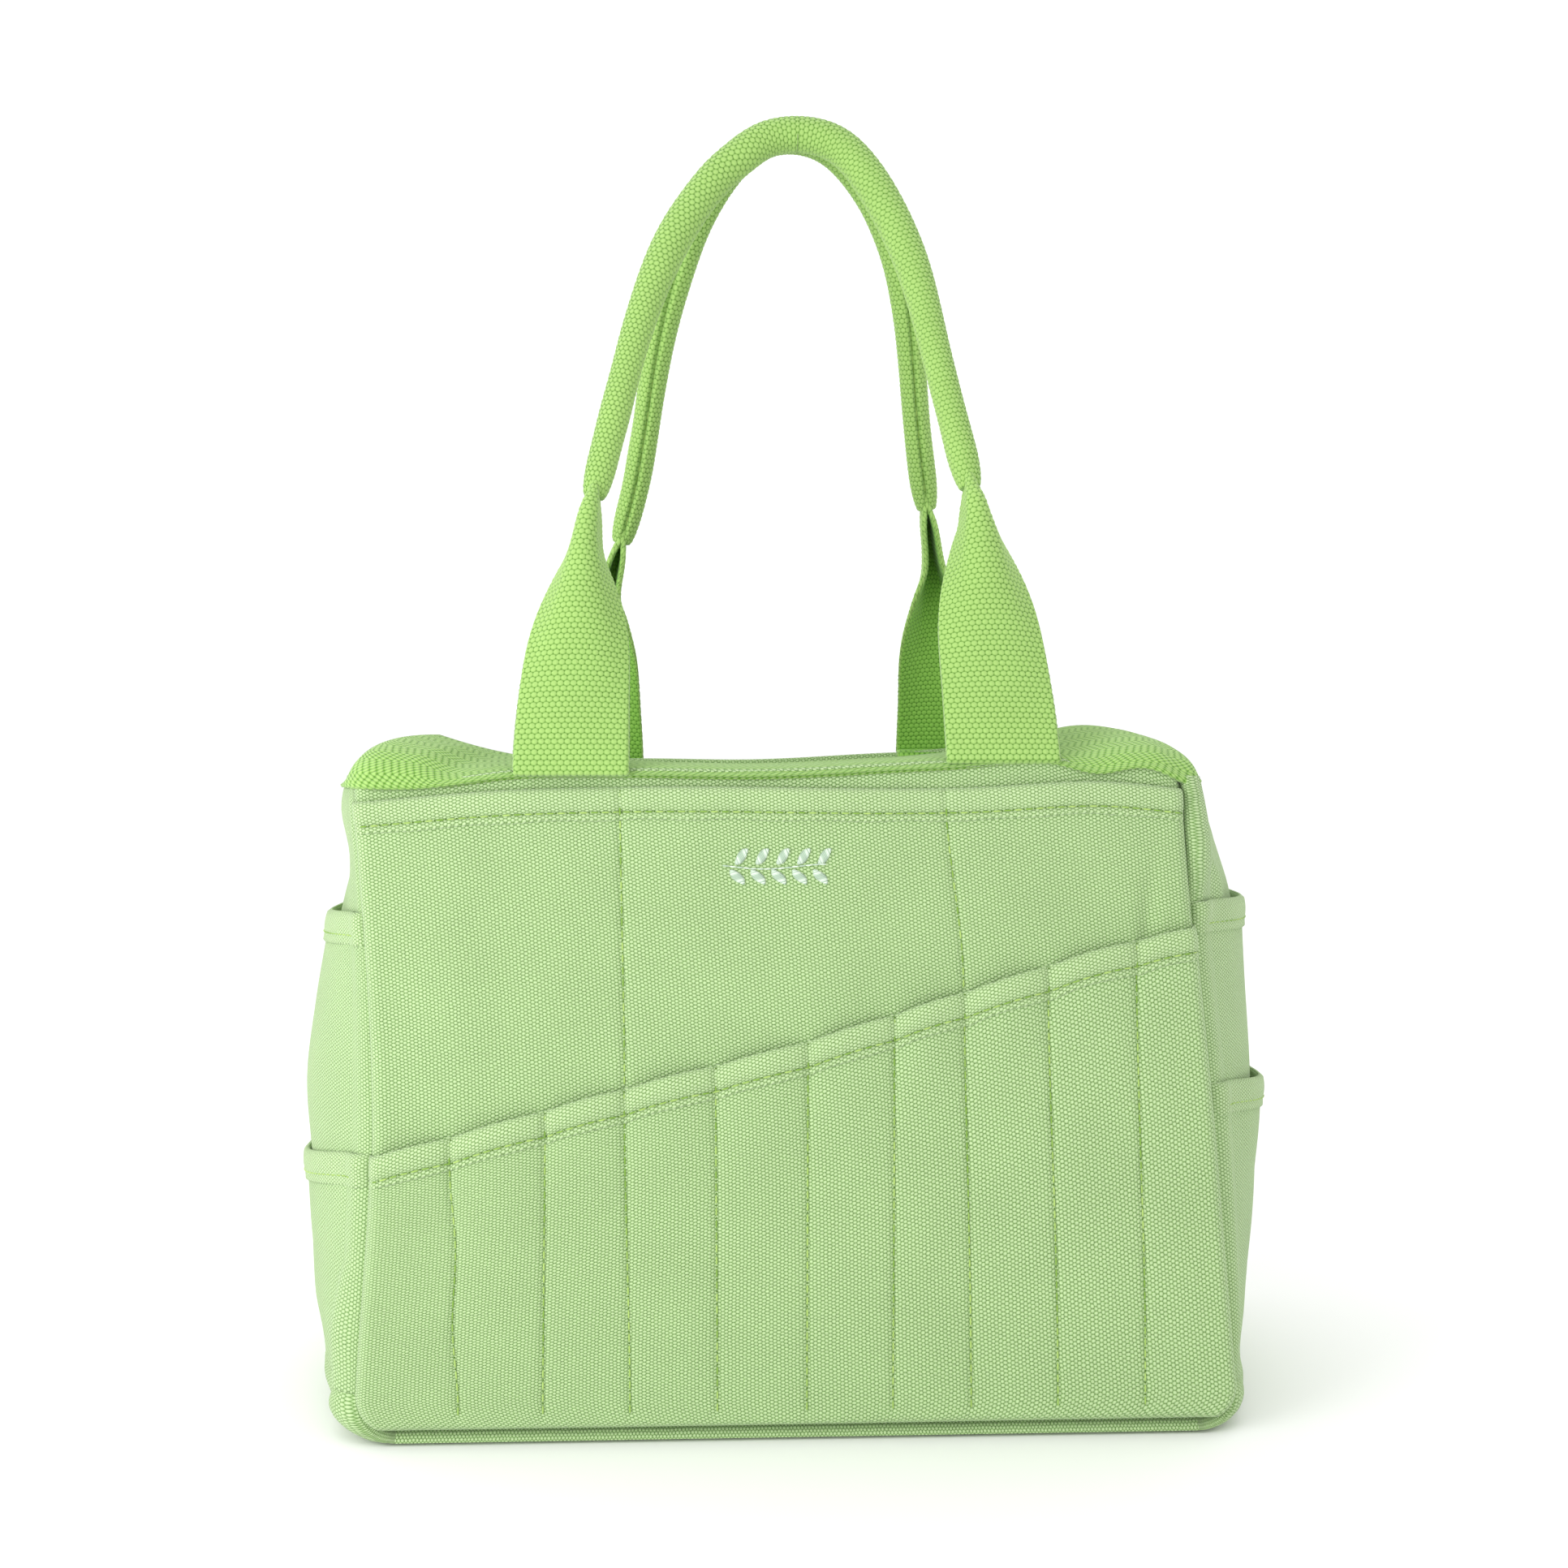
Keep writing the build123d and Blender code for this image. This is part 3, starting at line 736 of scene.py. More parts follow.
def side_grid(side, layer, low, high, rows, lift=0.0):
    """Grid on a side pocket, between two heights, each one number or one for each of SIDE_SHARES."""
    up = np.linspace(0, 1, rows)[:, None]
    z = low * (1 - up) + high * up
    grid = side_point(side, SIDE_SHARES[None, :] + 0 * z, z, layer, lift)
    return grid if side > 0 else grid[:, ::-1]


def side_hem_top(side, layer, share):
    start, droop = SIDE_HEMS[(side, layer)]
    return start - droop * arch(share) ** 1.2


# ---- threads ----

RING = np.radians(np.arange(0, 360, 60))  # corners of a thread's section
STATIONS = np.linspace(-1, 1, 7)  # places along one stitch
HOLE_SINK = 0.25  # how far a needle hole's button goes in, and stands up
HOLE_RISE = 0.10


class Threads:
    """Gathers stitches and needle holes into one mesh."""

    def __init__(self):
        self.points, self.faces, self.uvs, self.kinds = [], [], [], []
        self.placed = 0

    def add(self, points, sides, place, kind):
        """Rings of points with their side faces, and a cap on the first and the last ring."""
        size = len(RING)
        caps = [list(range(size))[::-1], list(range(len(points) - size, len(points)))]
        faces = [[self.placed + i for i in face] for face in sides + caps]
        self.points.append(points)
        self.faces.extend(faces)
        self.uvs.append(np.tile(np.array(place, float), (sum(len(face) for face in faces), 1)))
        self.kinds.extend([kind] * len(faces))
        self.placed += len(points)

    def bar(self, path, out, ahead, thick, size, place):
        """One stitch: a bar along a short path, with its half width and half height."""
        rounded = thick[:, None, None]
        body = (
            path[:, None, :]
            + np.cross(out, ahead) * (np.cos(RING)[None, :, None] * rounded * size[0])
            + out * (np.sin(RING)[None, :, None] * rounded * size[1])
        )
        sides = quads(len(STATIONS), len(RING), closed=True)
        sides = sides[..., 0] * len(RING) + sides[..., 1] % len(RING)
        self.add(body.reshape(-1, 3), sides.tolist(), place, 0)

    def hole(self, where, out, ahead, radius):
        """Low dark button that reads as the hole where the thread goes in; its dark colour is painted
        shade.
        """
        circle = np.cos(RING)[:, None] * ahead + np.sin(RING)[:, None] * np.cross(out, ahead)
        low = where + circle * radius - out * HOLE_SINK
        high = where + circle * radius * 0.7 + out * HOLE_RISE
        n = len(RING)
        sides = [[i, (i + 1) % n, n + (i + 1) % n, n + i] for i in range(n)]
        self.add(np.concatenate([low, high]), sides, (0, 0), 1)

    def mesh(self, name, materials):
        points, uvs = np.concatenate(self.points), np.concatenate(self.uvs)
        return add_mesh(name, points, self.faces, uvs, materials, self.kinds)


def stitch_piece(name, rows, material, pitch=STITCH, holes=True):
    """Rows of separate stitches. Each row is (points along it, outward directions)."""
    thick = np.sqrt(np.clip(1 - STATIONS**4, 0, 1))
    thick[[0, -1]] = 0.25
    size = (THREAD * 0.5, THREAD * 0.42)
    rise = (1 - STATIONS**2) * THREAD * 0.45 - THREAD * 0.15
    threads = Threads()
    for line, normals in rows:
        travelled = travel(line)
        count = int(travelled[-1] / pitch)
        for k in range(count):
            centre = (k + 0.5) * travelled[-1] / count
            path = along_line(centre + STATIONS * pitch * STITCH_SHARE / 2, travelled, line)
            out = unit(along_line(centre, travelled, normals))
            ahead = unit(path[-1] - path[0])
            threads.bar(path + out * rise[:, None], out, ahead, thick, size, (centre, k * 0.7))
            if holes:
                threads.hole(along_line(centre + pitch / 2, travelled, line), out, ahead, THREAD * 0.52)
    return threads.mesh(name, [material, HOLE_SHADE_LOOK])


def wall_line(across_at, zs, layer, back=0, lift=0.0):
    """Line of points on a wall at across positions in millimetres, with outward directions."""
    left, right = wall_sides(zs, layer, back)
    share = (across_at - left) / (right - left)
    line = wall_point(share, zs, layer, back, lift)
    normals = np.tile([0.0, 1.0 if back else -1.0, 0.0], (len(line), 1))
    return line, normals


# ---- bag pieces ----


def dress(piece, body, nodes):
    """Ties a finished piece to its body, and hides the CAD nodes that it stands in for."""
    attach(piece, body)
    if nodes:
        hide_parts(*nodes)


def wall_top(x):
    """Upper edge of a wall, just above the rim's seam."""
    return RIM_Z + through(x, RIM_SEAM) + 2.2


def make_wall(name, back):
    """Front or back panel."""
    grid = wall_grid(161, SEAM_Z, wall_top, 90, 0, back)
    piece = cloth(name, grid, cloth_uv(grid), CANVAS, CANVAS_LOOK)
    dress(piece, "bag", [name])


def make_gusset():
    """Left side, base and right side, cut from one strip so that they meet."""
    grid = gusset_grid()
    rows = grid.shape[0]
    corner_rows = SEAM_STEPS - 2
    cuts = {
        "left_side_panel": (0, corner_rows + 1, (0.165, 0.215)),
        "base_panel": (corner_rows - 1, rows - corner_rows + 1, (0.330, 0.190)),
        "right_side_panel": (rows - corner_rows - 1, rows, (0.165, 0.215)),
    }
    uv = cloth_uv(grid)
    for name, (first, last, flat) in cuts.items():
        part, part_uv = grid[first:last], uv[first:last]
        piece = cloth(name, part, part_uv, CANVAS, CANVAS_LOOK)
        dress(piece, "bag", [name])


def upper_hem_top(x):
    return through(x, UPPER_HEM)


def slant_hem_top(x):
    return through(x, SLANT_HEM)


HEM_STITCH = STITCH * 0.92  # the front hems are stitched a little closer
HEM_FOLD = 0.9  # how far the fold stands above the hem's stated line
SCALLOP = 1.5  # how far the slanted hem's fold rises between its columns


def hem_edge(top, layer, x):
    """Height of a hem's fold: between the stitched columns it rises, and on them it dips."""
    edge = top(x) + HEM_FOLD
    if layer == 2:
        lines = [column_x(index, top(x)) for index in range(len(COLUMN_STRAY))]
        edge = edge + SCALLOP * (slot_puff(x, lines, *SLANT_ENDS) - 0.75)
    return edge


def hem_grid(top, layer, back=0):
    """Folded hem: it puffs between the fold and the row of stitches, and flares below it."""
    rows, cols = 13, 301
    across = np.linspace(0, 1, cols)[None, :] + np.zeros((rows, 1))
    up = np.linspace(0, 1, rows)[:, None]
    x = wall_x(across, top, layer, back)
    wave = 0.25 * np.sin(x / 5.0)
    z = hem_edge(top, layer, x) + (wave - HEM - HEM_FOLD) * (1 - up)
    puff = 0.75 + 1.3 * arch((up - 0.22) / 0.78) ** 0.8
    puff = puff - 0.45 * hump(up, 0.2, 0.07) - 1.1 * ease(up, 0.93, 1.0)
    grid = wall_point(across, z, layer, back, puff + 0 * across)
    return grid if not back else grid[:, ::-1]


def make_pocket(name, nodes, top, layer, back):
    """Front or back pocket sheet with its folded hem as a second piece."""
    grid = wall_grid(361, SEAM_Z, top, 130, layer, back)
    sheet = cloth(name, grid, cloth_uv(grid), CANVAS, CANVAS_LOOK)
    dress(sheet, "bag", nodes)
    folded = hem_grid(top, layer, back)
    # The hem takes the lighter copy of the canvas, which is painted light.
    hem = cloth(name + "_hem", folded, cloth_uv(folded), HEM_CLOTH, HEM_LIGHT_LOOK)
    dress(hem, "bag", [])


def stitch_bag(name, rows, pitch=STITCH):
    piece = stitch_piece(name, rows, THREAD_LOOK, pitch)
    dress(piece, "bag", [name])


def hem_row(top, layer, back=0):
    """Row of stitches along a hem."""
    x = np.linspace(*HEM_ROWS[layer], 240)
    return wall_line(x, hem_edge(top, layer, x) - (HEM + HEM_FOLD) * 0.79, layer, back, 1.0)


def upright_row(across, low, high, steps, layer, lift):
    """Row of stitches up a pocket, for an across position that is a function of the height."""
    zs = np.linspace(low, high, steps)
    return wall_line(across(zs), zs, layer, 0, lift)


def make_front_stitching():
    stitch_bag("front_upper_hem_stitching", [hem_row(upper_hem_top, 1)], HEM_STITCH)
    stitch_bag("front_slant_hem_stitching", [hem_row(slant_hem_top, 2)], HEM_STITCH)
    dividers = []
    for index in range(len(DIVIDERS)):
        place = partial(divider_x, index)
        meet = float(slant_hem_top(place(150.0))) + 1
        hem_foot = float(upper_hem_top(place(230.0))) - HEM
        dividers.append(upright_row(place, meet, hem_foot, 60, 1, 0.25))
        dividers.append(upright_row(place, hem_foot, hem_foot + HEM, 8, 1, 1.6))
    stitch_bag("front_upper_dividers", dividers)
    columns = []
    for index in range(len(COLUMN_STRAY)):
        place = partial(column_x, index)
        top = float(slant_hem_top(place(150.0)))
        columns.append(upright_row(place, COLUMN_FOOT + 1, top - HEM, 60, 2, 0.4))
        columns.append(upright_row(place, top - HEM, top, 8, 2, 1.7))
    stitch_bag("front_slot_dividers", columns)


def make_back_stitching():
    stitch_bag("back_pocket_hem_stitching", [hem_row(upper_hem_top, 1, 1)])
    rows = []
    for index in range(len(DIVIDERS)):
        zs = np.linspace(COLUMN_FOOT + 1, float(upper_hem_top(divider_x(index, 230.0))) - 1, 90)
        rows.append(wall_line(divider_x(index, zs), zs, 1, 1, 0.9 * ease(zs, 221, 224)))
    stitch_bag("back_pocket_dividers", rows)


def make_side_pockets(side, word):
    """Both pockets of a side, each with its hem, and the rows of stitches on the hems."""
    rows = []
    for layer, tier in ((1, "upper"), (2, "lower")):
        name = f"{word}_{tier}_side_pocket"
        fold = side_hem_top(side, layer, SIDE_SHARES)
        grid = side_grid(side, layer, POCKET_FOOT, fold, 80)
        sheet = cloth(name, grid, cloth_uv(grid), CANVAS, CANVAS_LOOK)
        dress(sheet, "bag", [name])
        up = np.linspace(0, 1, 11)[:, None]
        puff = 1.2 + 0.6 * arch((up - 0.2) / 0.8) - 1.1 * ease(up, 0.93, 1.0)
        folded = side_grid(side, layer, fold - HEM - 0.5, fold + 0.8, 11, lift=puff)
        # The hem takes the lighter copy of the canvas, which is painted light.
        hem = cloth(name + "_hem", folded, cloth_uv(folded), HEM_CLOTH, HEM_LIGHT_LOOK)
        dress(hem, "bag", [])
        share = np.linspace(0.04, 0.96, 80)
        line = side_point(side, share, side_hem_top(side, layer, share) - SIDE_ROW, layer, 1.3)
        rows.append((line, np.tile([float(side), 0.0, 0.0], (len(line), 1))))
    stitch_bag(f"{word}_side_hem_stitching", rows)


# height of the rim's lower edge above the walls' edge, and height of its free edge, across the front
RIM_SEAM = [
    (-158, -2.5), (-131, -2.6), (-101, 1.2), (-60, 1.8), (-13, 1.3), (54, 4.4), (95, 5.4),
    (108, 2.0), (127, 4.4), (140, -0.5),
]
RIM_FREE = [
    (-134, 17), (-125, 14), (-105, 9), (-57, 6.5), (-10, 4.5), (38, 7), (80, 13), (112, 20), (128, 18),
]
RIM_CORNERS = (-134.0, 128.0, 45.0)  # left, right and forward places of the free edge's corners
RIM_BOW = (17, 6)  # how far the free edge bows in at the sides, and out at the front and back
SIDE_SAG = 6  # how much lower it hangs in the middle of a side
BACK_SAG = 4.0  # how much lower the back's free edge hangs in its middle
BACK_LOWER = 0.45  # share by which it stands lower at the back than at the front
RIM_OUT = (1.7, 1.6)  # how far its lower edge stands out from the walls and from the sides


def rim_loop():
    """The rim's lower edge and its free edge, counter-clockwise from the front left corner."""
    left, right, forward = RIM_CORNERS
    along = np.linspace(0, 1, 141)[:-1]
    share = np.linspace(0, 1, 81)[:-1]
    bow_in, bow_out = RIM_BOW
    outer, inner = [], []
    for back in (0, 1):
        sign = 1 if back else -1
        low, high = side_edge(-1, RIM_Z, back), side_edge(1, RIM_Z, back)
        t = 1 - along if back else along
        x = low + (high - low) * t
        y = sign * (WALL_Y + RIM_OUT[0] - roll(np.minimum(x - low, high - x), WALL_TURN, SEAM_ROLL))
        free_x = left + (right - left) * t
        free_y = sign * (forward + bow_out * arch(t))
        sag = BACK_SAG * back * arch(t)
        stand_up = through(free_x, RIM_FREE) * (1 - BACK_LOWER * back)
        outer.append(stack(x, y, RIM_Z + through(x, RIM_SEAM) - 0.2 * sag))
        inner.append(stack(free_x, free_y, RIM_Z + stand_up - sag))
        side = -1 if back else 1
        place = 1 - share if back else share
        stand, roll_y = side_shape(side, place, np.full(place.shape, RIM_Z))
        x = side_edge(side, RIM_Z, place) + side * (stand + RIM_OUT[1])
        y = side_y(place) - roll_y
        z = RIM_Z - 2.2 + 1.2 * np.sin(2 * np.pi * share)
        outer.append(stack(x, y, z))
        corner = left if back else right
        height = through(corner, RIM_FREE) * (1 - BACK_LOWER * place)
        z = RIM_Z + height - SIDE_SAG * arch(share)
        x = corner - side * bow_in * arch(share)
        inner.append(stack(x, forward * (2 * place - 1), z))
    return np.concatenate(outer), np.concatenate(inner)


def smooth_loop(points, passes):
    """Rounds off a closed line of points."""
    for _ in range(passes):
        points = (np.roll(points, 1, axis=0) + 2 * points + np.roll(points, -1, axis=0)) / 4
    return points


RIM_RISE = 5.0  # how far the band bulges up between its two edges
CORNER_RISE = (9.0, 6.0)  # how much further at its left and right corners
RIM_CURVE = (0.02, 0.02, 0.3)  # how far in the bulge lies: across, forward and up
SELVAGE = 0.9  # thickening along its sewn edge


def make_rim():
    """Band round the mouth, curving in from its sewn edge to its free edge."""
    outer, inner = rim_loop()
    outer, inner = smooth_loop(outer, 4), smooth_loop(inner, 10)
    v = np.linspace(0, 1, 40)[:, None, None]
    corner = np.abs(outer[:, 1]) / SEAM_Y * np.minimum(1, np.abs(outer[:, 0]) / 150)
    steep = np.where(outer[:, 0] < 0, *CORNER_RISE)
    rise = RIM_RISE + steep * ease(corner, 0.88, 1.0)
    control = outer + (inner - outer) * np.array(RIM_CURVE)
    control[:, 2] += rise
    grid = (1 - v) ** 2 * outer + 2 * v * (1 - v) * control + v**2 * inner
    away = unit((outer - inner) * np.array([1, 1, 0]))
    grid = grid + away * SELVAGE * hump(v, 0.05, 0.035)
    piece = cloth("rim_webbing", grid, cloth_uv(grid, True), WEBBING, RIM_LOOK, closed=True)
    dress(piece, "bag", ["rim_webbing"])


# ---- handles ----

ACROSS = np.array([1.0, 0.0, 0.0])
GRIP_APART = 8.9  # half the distance between the two grips' middle lines at their tops
GRIP_TOP = 252.6  # how far above the hinges they are there


def handle_body(back):
    return "back_handle" if back else "front_handle"


def handle_axes(back):
    """Where a handle starts, and its directions up along it and outwards."""
    sign = 1 if back else -1
    lean = math.atan2(-HINGE[1] - GRIP_APART, GRIP_TOP)
    origin = np.array([0.0, sign * -HINGE[1], HINGE[2]])
    up = np.array([0.0, -sign * math.sin(lean), math.cos(lean)])
    outwards = np.array([0.0, sign * math.cos(lean), math.sin(lean)])
    return origin, up, outwards


# the handles do not stand quite straight: sideways drift of the front and back ones, at places
# counted along the handle from its top, negative towards the left
HANDLE_DRIFT = (
    [(-266, -2.2), (-206, -2.6), (-157, -2.6), (-86, -1.2), (-44, 1.2), (-22, 4.0), (-8, 6.0), (0, 4.5),
     (12, 2.4), (60, -0.2), (90, -1.8), (130, -2.2), (157, -2.6), (206, -2.9), (266, -2.7)],
    [(-266, -2.7), (-206, -3.0), (-186, -1.2), (-170, 0.8), (-156, 2.2), (-141, 3.3), (-122, 3.2),
     (-94, 2.4), (-75, 1.9), (-60, 1.6), (0, 3.0), (25, 5.0), (45, 5.0), (66, 3.0), (90, 0.4), (157, -3.0),
     (206, -3.2), (266, -2.7)],
)
BACK_HANDLE_TALLER = 1.018
BACK_HANDLE_NARROWER = 0.035  # share by which the back handle's legs come closer together
HANDLE_TOP = 266  # length of a leg, from the rim to the top of the arch
# right half of a handle's middle line, (across, along), from the sewn end to the top
HANDLE_HALF = [
    (STRAP_X, -24), (STRAP_X, -8), (STRAP_X, 12), (76.8, 34), (75.0, 58), (74.2, 80), (72.4, 98),
    (69.8, 112), (66.6, 128), (62.0, 150), (57.5, 174), (51.5, 199), (42.5, 225), (32.0, 246),
    (18.0, 262),
]


def handle_route(back, count):
    """Centre line of a handle in its own plane, from the left seam over the top to the right one."""
    points = [(-x, along) for x, along in HANDLE_HALF] + [(0, 266.5)] + HANDLE_HALF[::-1]
    points = np.array(points, float)
    steps = np.linspace(0, len(points) - 3.001, 3000)
    i = steps.astype(int)
    t = (steps - i)[:, None]
    shares = ((1 - t) ** 3, 3 * t**3 - 6 * t**2 + 4, 3 * t**2 + 3 * t + 1 - 3 * t**3, t**3)
    nearby = (points[i], points[i + 1], points[i + 2], points[np.minimum(i + 3, len(points) - 1)])
    curve = sum(share * point for share, point in zip(shares, nearby)) / 6
    length = travel(curve)
    even = np.linspace(0, length[-1], count)
    x, along = along_line(even, length, curve).T
    if back:
        x = x * (1 - BACK_HANDLE_NARROWER * ease(along, 20, 110))
        along = along * (1 + (BACK_HANDLE_TALLER - 1) * ease(along, 0, HANDLE_TOP))
    around = np.where(even < length[-1] / 2, along - HANDLE_TOP, HANDLE_TOP - along)
    return x + through(around, HANDLE_DRIFT[back]), along, even


def webbing_relief(u, v):
    """Height of the webbing's bumps, from 0 to 1, in the same places as its seeds of colour."""
    near_u = 1 - np.abs(u / RIB % 2 - 1)
    near_v = 1 - np.abs(2 * v / PICK % 2 - 1)
    wide, long = BEAD_REACH
    one = (near_u / wide) ** 2 + (near_v / long) ** 2
    other = ((1 - near_u) / wide) ** 2 + ((1 - near_v) / long) ** 2
    return np.sqrt(np.clip(1 - np.minimum(one, other), 0, 1))


def folded_section(a, half_turn, bend):
    """Mid-line of the webbing across its width, folded back on both sides of its middle."""
    angle = half_turn[:, None] * np.clip(a[None, :] / bend[:, None], -1, 1)
    step = a[1] - a[0]
    x = np.cumsum(np.cos(angle), axis=1) * step
    depth = np.cumsum(np.sin(angle), axis=1) * step
    middle = len(a) // 2
    return x - x[:, middle:middle + 1], depth - depth[:, middle:middle + 1]


# how far each half of a strap has folded back at a place along the handle, in degrees
FOLD_ANGLES = [(4, 0), (30, 14), (58, 32), (71, 47), (80, 60), (89, 73), (97, 84), (108, 90), (121, 108)]
FOLD_NECK = 108.0
# width of each half's curved part there; the rest of the half is flat
FOLD_BENDS = [(4, 20), (30, 18), (58, 14), (71, 11), (80, 9.5), (89, 8), (97, 6), (108, 4.4), (121, 4.2)]
# what a strap's width loses on its way into the neck: (millimetres, from, to)
NARROWING = [(6, 98, 108), (17, 101, 115)]
# where each strap has narrowed to its neck: (back, side)
NECKS = {(0, -1): 107.5, (0, 1): 112.0, (1, -1): 101.0, (1, 1): 116.0}
# how much further on its folding is than in the loosest strap
FOLD_LEAD = {(0, -1): 8.0, (0, 1): 0.0, (1, -1): 14.0, (1, 1): 14.0}
SEWN_END = -22  # where a strap's sewn end stops
PAST_NECK = 12  # how far a strap runs on past its neck, inside the grip
FOLD_MIDDLE = 0.42  # share of a folded strap's depth that lies outwards of the handle's middle
STRAP_STEP = 0.46  # spacing of the mesh along a strap


def make_leg(name, back, side, nodes):
    """Flat strap that folds in two as it rises to the grip."""
    origin, up, outwards = handle_axes(back)
    x, along, travelled = handle_route(back, 1500)
    neck = NECKS[(back, side)]
    keep = (np.sign(x) == side) & (along > SEWN_END) & (along < neck + PAST_NECK)
    x, along, travelled = x[keep], along[keep], travelled[keep]
    if side > 0:
        x, along, travelled = x[::-1], along[::-1], -travelled[::-1]
    travelled = travelled - travelled[0]
    even = np.arange(0, travelled[-1], STRAP_STEP)
    x, along = np.interp(even, travelled, x), np.interp(even, travelled, along)
    lead = FOLD_LEAD[(back, side)] * ease(along, 0, 40) * (1 - ease(along, neck - 26, neck))
    fold_at = along * FOLD_NECK / neck + lead
    half_turn = np.radians(through(fold_at, FOLD_ANGLES))
    bend = through(fold_at, FOLD_BENDS)
    width = STRAP_WIDTH - sum(loss * ease(fold_at, low, high) for loss, low, high in NARROWING)
    a = np.linspace(-0.5, 0.5, 89)
    section_x, section_depth = folded_section(a * STRAP_WIDTH, half_turn, bend)
    section_x = section_x * (width / STRAP_WIDTH)[:, None]
    section_depth = section_depth * (width / STRAP_WIDTH)[:, None]
    middle = section_depth.max(axis=1) * FOLD_MIDDLE
    slope_x, slope_along = np.gradient(x, even), np.gradient(along, even)
    turn = np.arctan2(slope_x, slope_along) * ease(along, 20, 110)
    stand = WEBBING / 2 + 0.2 + middle
    along_shift = -section_x * np.sin(turn)[:, None]
    place = (
        origin
        + ACROSS * (x[:, None] + section_x * np.cos(turn)[:, None])[..., None]
        + up * (along[:, None] + along_shift)[..., None]
        + outwards * (stand[:, None] - section_depth)[..., None]
    )
    foot = (RIM_Z + through(side * STRAP_X, RIM_SEAM) - HINGE[2]) / up[2]
    sewn = 1 - ease(along, foot - 1.6, foot + 1.0)
    inside = (outwards[1] / abs(outwards[1])) * (WALL_Y - CANVAS - 0.4) - place[..., 1]
    place[..., 1] = place[..., 1] + inside * sewn[:, None]
    u = (a + 0.5)[None, :] * STRAP_WIDTH + 0 * place[..., 0]
    v = even[:, None] + 0 * place[..., 0]
    if back:
        place, u, v = place[:, ::-1], u[:, ::-1], v[:, ::-1]
    normal = facing(place)
    bumps = (webbing_relief(u, v) * RELIEF * ease(np.minimum(u, STRAP_WIDTH - u), -0.4, 0.8))[..., None]
    uv = np.stack([u, v], axis=-1)
    inner = place - normal * (WEBBING - RELIEF + bumps)
    # The inner faces take the darker copy of the webbing, which is painted shade.
    piece = cloth(name, place + normal * bumps, uv, WEBBING, WEBBING_LOOK, inner=inner, inner_shade_look=FOLD_SHADE_LOOK)
    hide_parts(*nodes)
    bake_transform(piece)


CORE_RADIUS = 2.6  # cord inside a grip
NECK_RADIUS = 2.7  # a grip's ends
NECK_SWELL = 2.5  # how much thicker it gets in its first stretch
NECK_LENGTH = 16.0
ARCH_SWELL = 1.4  # how much thicker again it is over the top
GRIP_UNEVEN = 0.2
SEAM_STITCH = 4.6  # stitches across the slit
SEAM_DEPTH = 3.2  # how far inwards of the grip's middle line they lie
BAR_THREADS = 4  # threads of the bar at each end of a grip
BAR_HALF = 2.2  # half the bar's width
BAR_OUT = 3.9  # how far outwards of the middle line it lies
BAR_DROP = 9.0  # how far below the seam's end it starts
SLIT_DEPTH = 2.2  # the slit between the webbing's edges, and the lips beside it
LIPS = 0.5


def grip_line(back, from_neck, count):
    """Middle line of a grip, starting and ending a little way from its necks."""
    x, along, travelled = handle_route(back, 3000)
    start = np.where(x < 0, NECKS[(back, -1)], NECKS[(back, 1)])
    keep = along > start + from_neck
    x, along, travelled = x[keep], along[keep], travelled[keep] - travelled[keep][0]
    even = np.linspace(0, travelled[-1], count)
    return np.interp(even, travelled, x), np.interp(even, travelled, along), even


def grip_rings(back, x, along, size, angle):
    """Rings round a grip's middle line. Angle 0 faces away from the bag."""
    origin, up, outwards = handle_axes(back)
    tangent = unit(np.stack([np.gradient(x), np.gradient(along)], axis=-1))
    sideways = size * np.sin(angle)
    rings = (
        origin
        + ACROSS * (x[:, None] + sideways * tangent[:, 1][:, None])[..., None]
        + up * (along[:, None] - sideways * tangent[:, 0][:, None])[..., None]
        + outwards * (size * np.cos(angle) + 0.3)[..., None]
    )
    return rings if back else rings[:, ::-1]


def make_grip(name, back, nodes):
    """Webbing rolled round its cord, with the slit between its edges on the inward side."""
    x, along, even = grip_line(back, -0.5, 800)
    angle = np.linspace(0, 2 * np.pi, 93)[:-1]
    slit = np.abs(angle - np.pi)
    end = np.minimum(even, even[-1] - even)
    swell = np.sqrt(1 - (1 - np.clip(end / NECK_LENGTH, 0, 1)) ** 2)
    radius = NECK_RADIUS + NECK_SWELL * swell + ARCH_SWELL * ease(end, 50, 125)
    radius = radius + GRIP_UNEVEN * rumple(even, 0 * even, 24, 1, 4.0)
    groove = SLIT_DEPTH * hump(slit, 0, 0.16) - LIPS * hump(slit, 0, 0.55)
    u = angle / (2 * np.pi) * (RIB * RIBS_ROUND_GRIP)
    relief = webbing_relief(u[None, :], even[:, None]) * RELIEF * (1 - hump(slit, 0, 0.2))
    size = radius[:, None] * (1 - 0.03 * np.cos(2 * angle)) + relief - groove
    size[[0, -1]] *= 0.5
    wide_u = np.concatenate([u, [2 * u[-1] - u[-2]]])
    uv = np.stack(np.meshgrid(wide_u, even), axis=-1)
    rings = grip_rings(back, x, along, size, angle)
    piece = tube(name, rings, uv if back else uv[:, ::-1], WEBBING_LOOK)
    dress(piece, handle_body(back), nodes)


def make_grip_core(name, back):
    """Cord inside a grip."""
    x, along, even = grip_line(back, 6.0, 200)
    angle = np.linspace(0, 2 * np.pi, 25)[:-1]
    size = np.full((len(even), len(angle)), CORE_RADIUS)
    rings = grip_rings(back, x, along, size, angle)
    uv = np.stack(np.meshgrid(np.arange(25.0), even), axis=-1)
    piece = tube(name, rings, uv, CORE_LOOK)
    dress(piece, handle_body(back), [name])


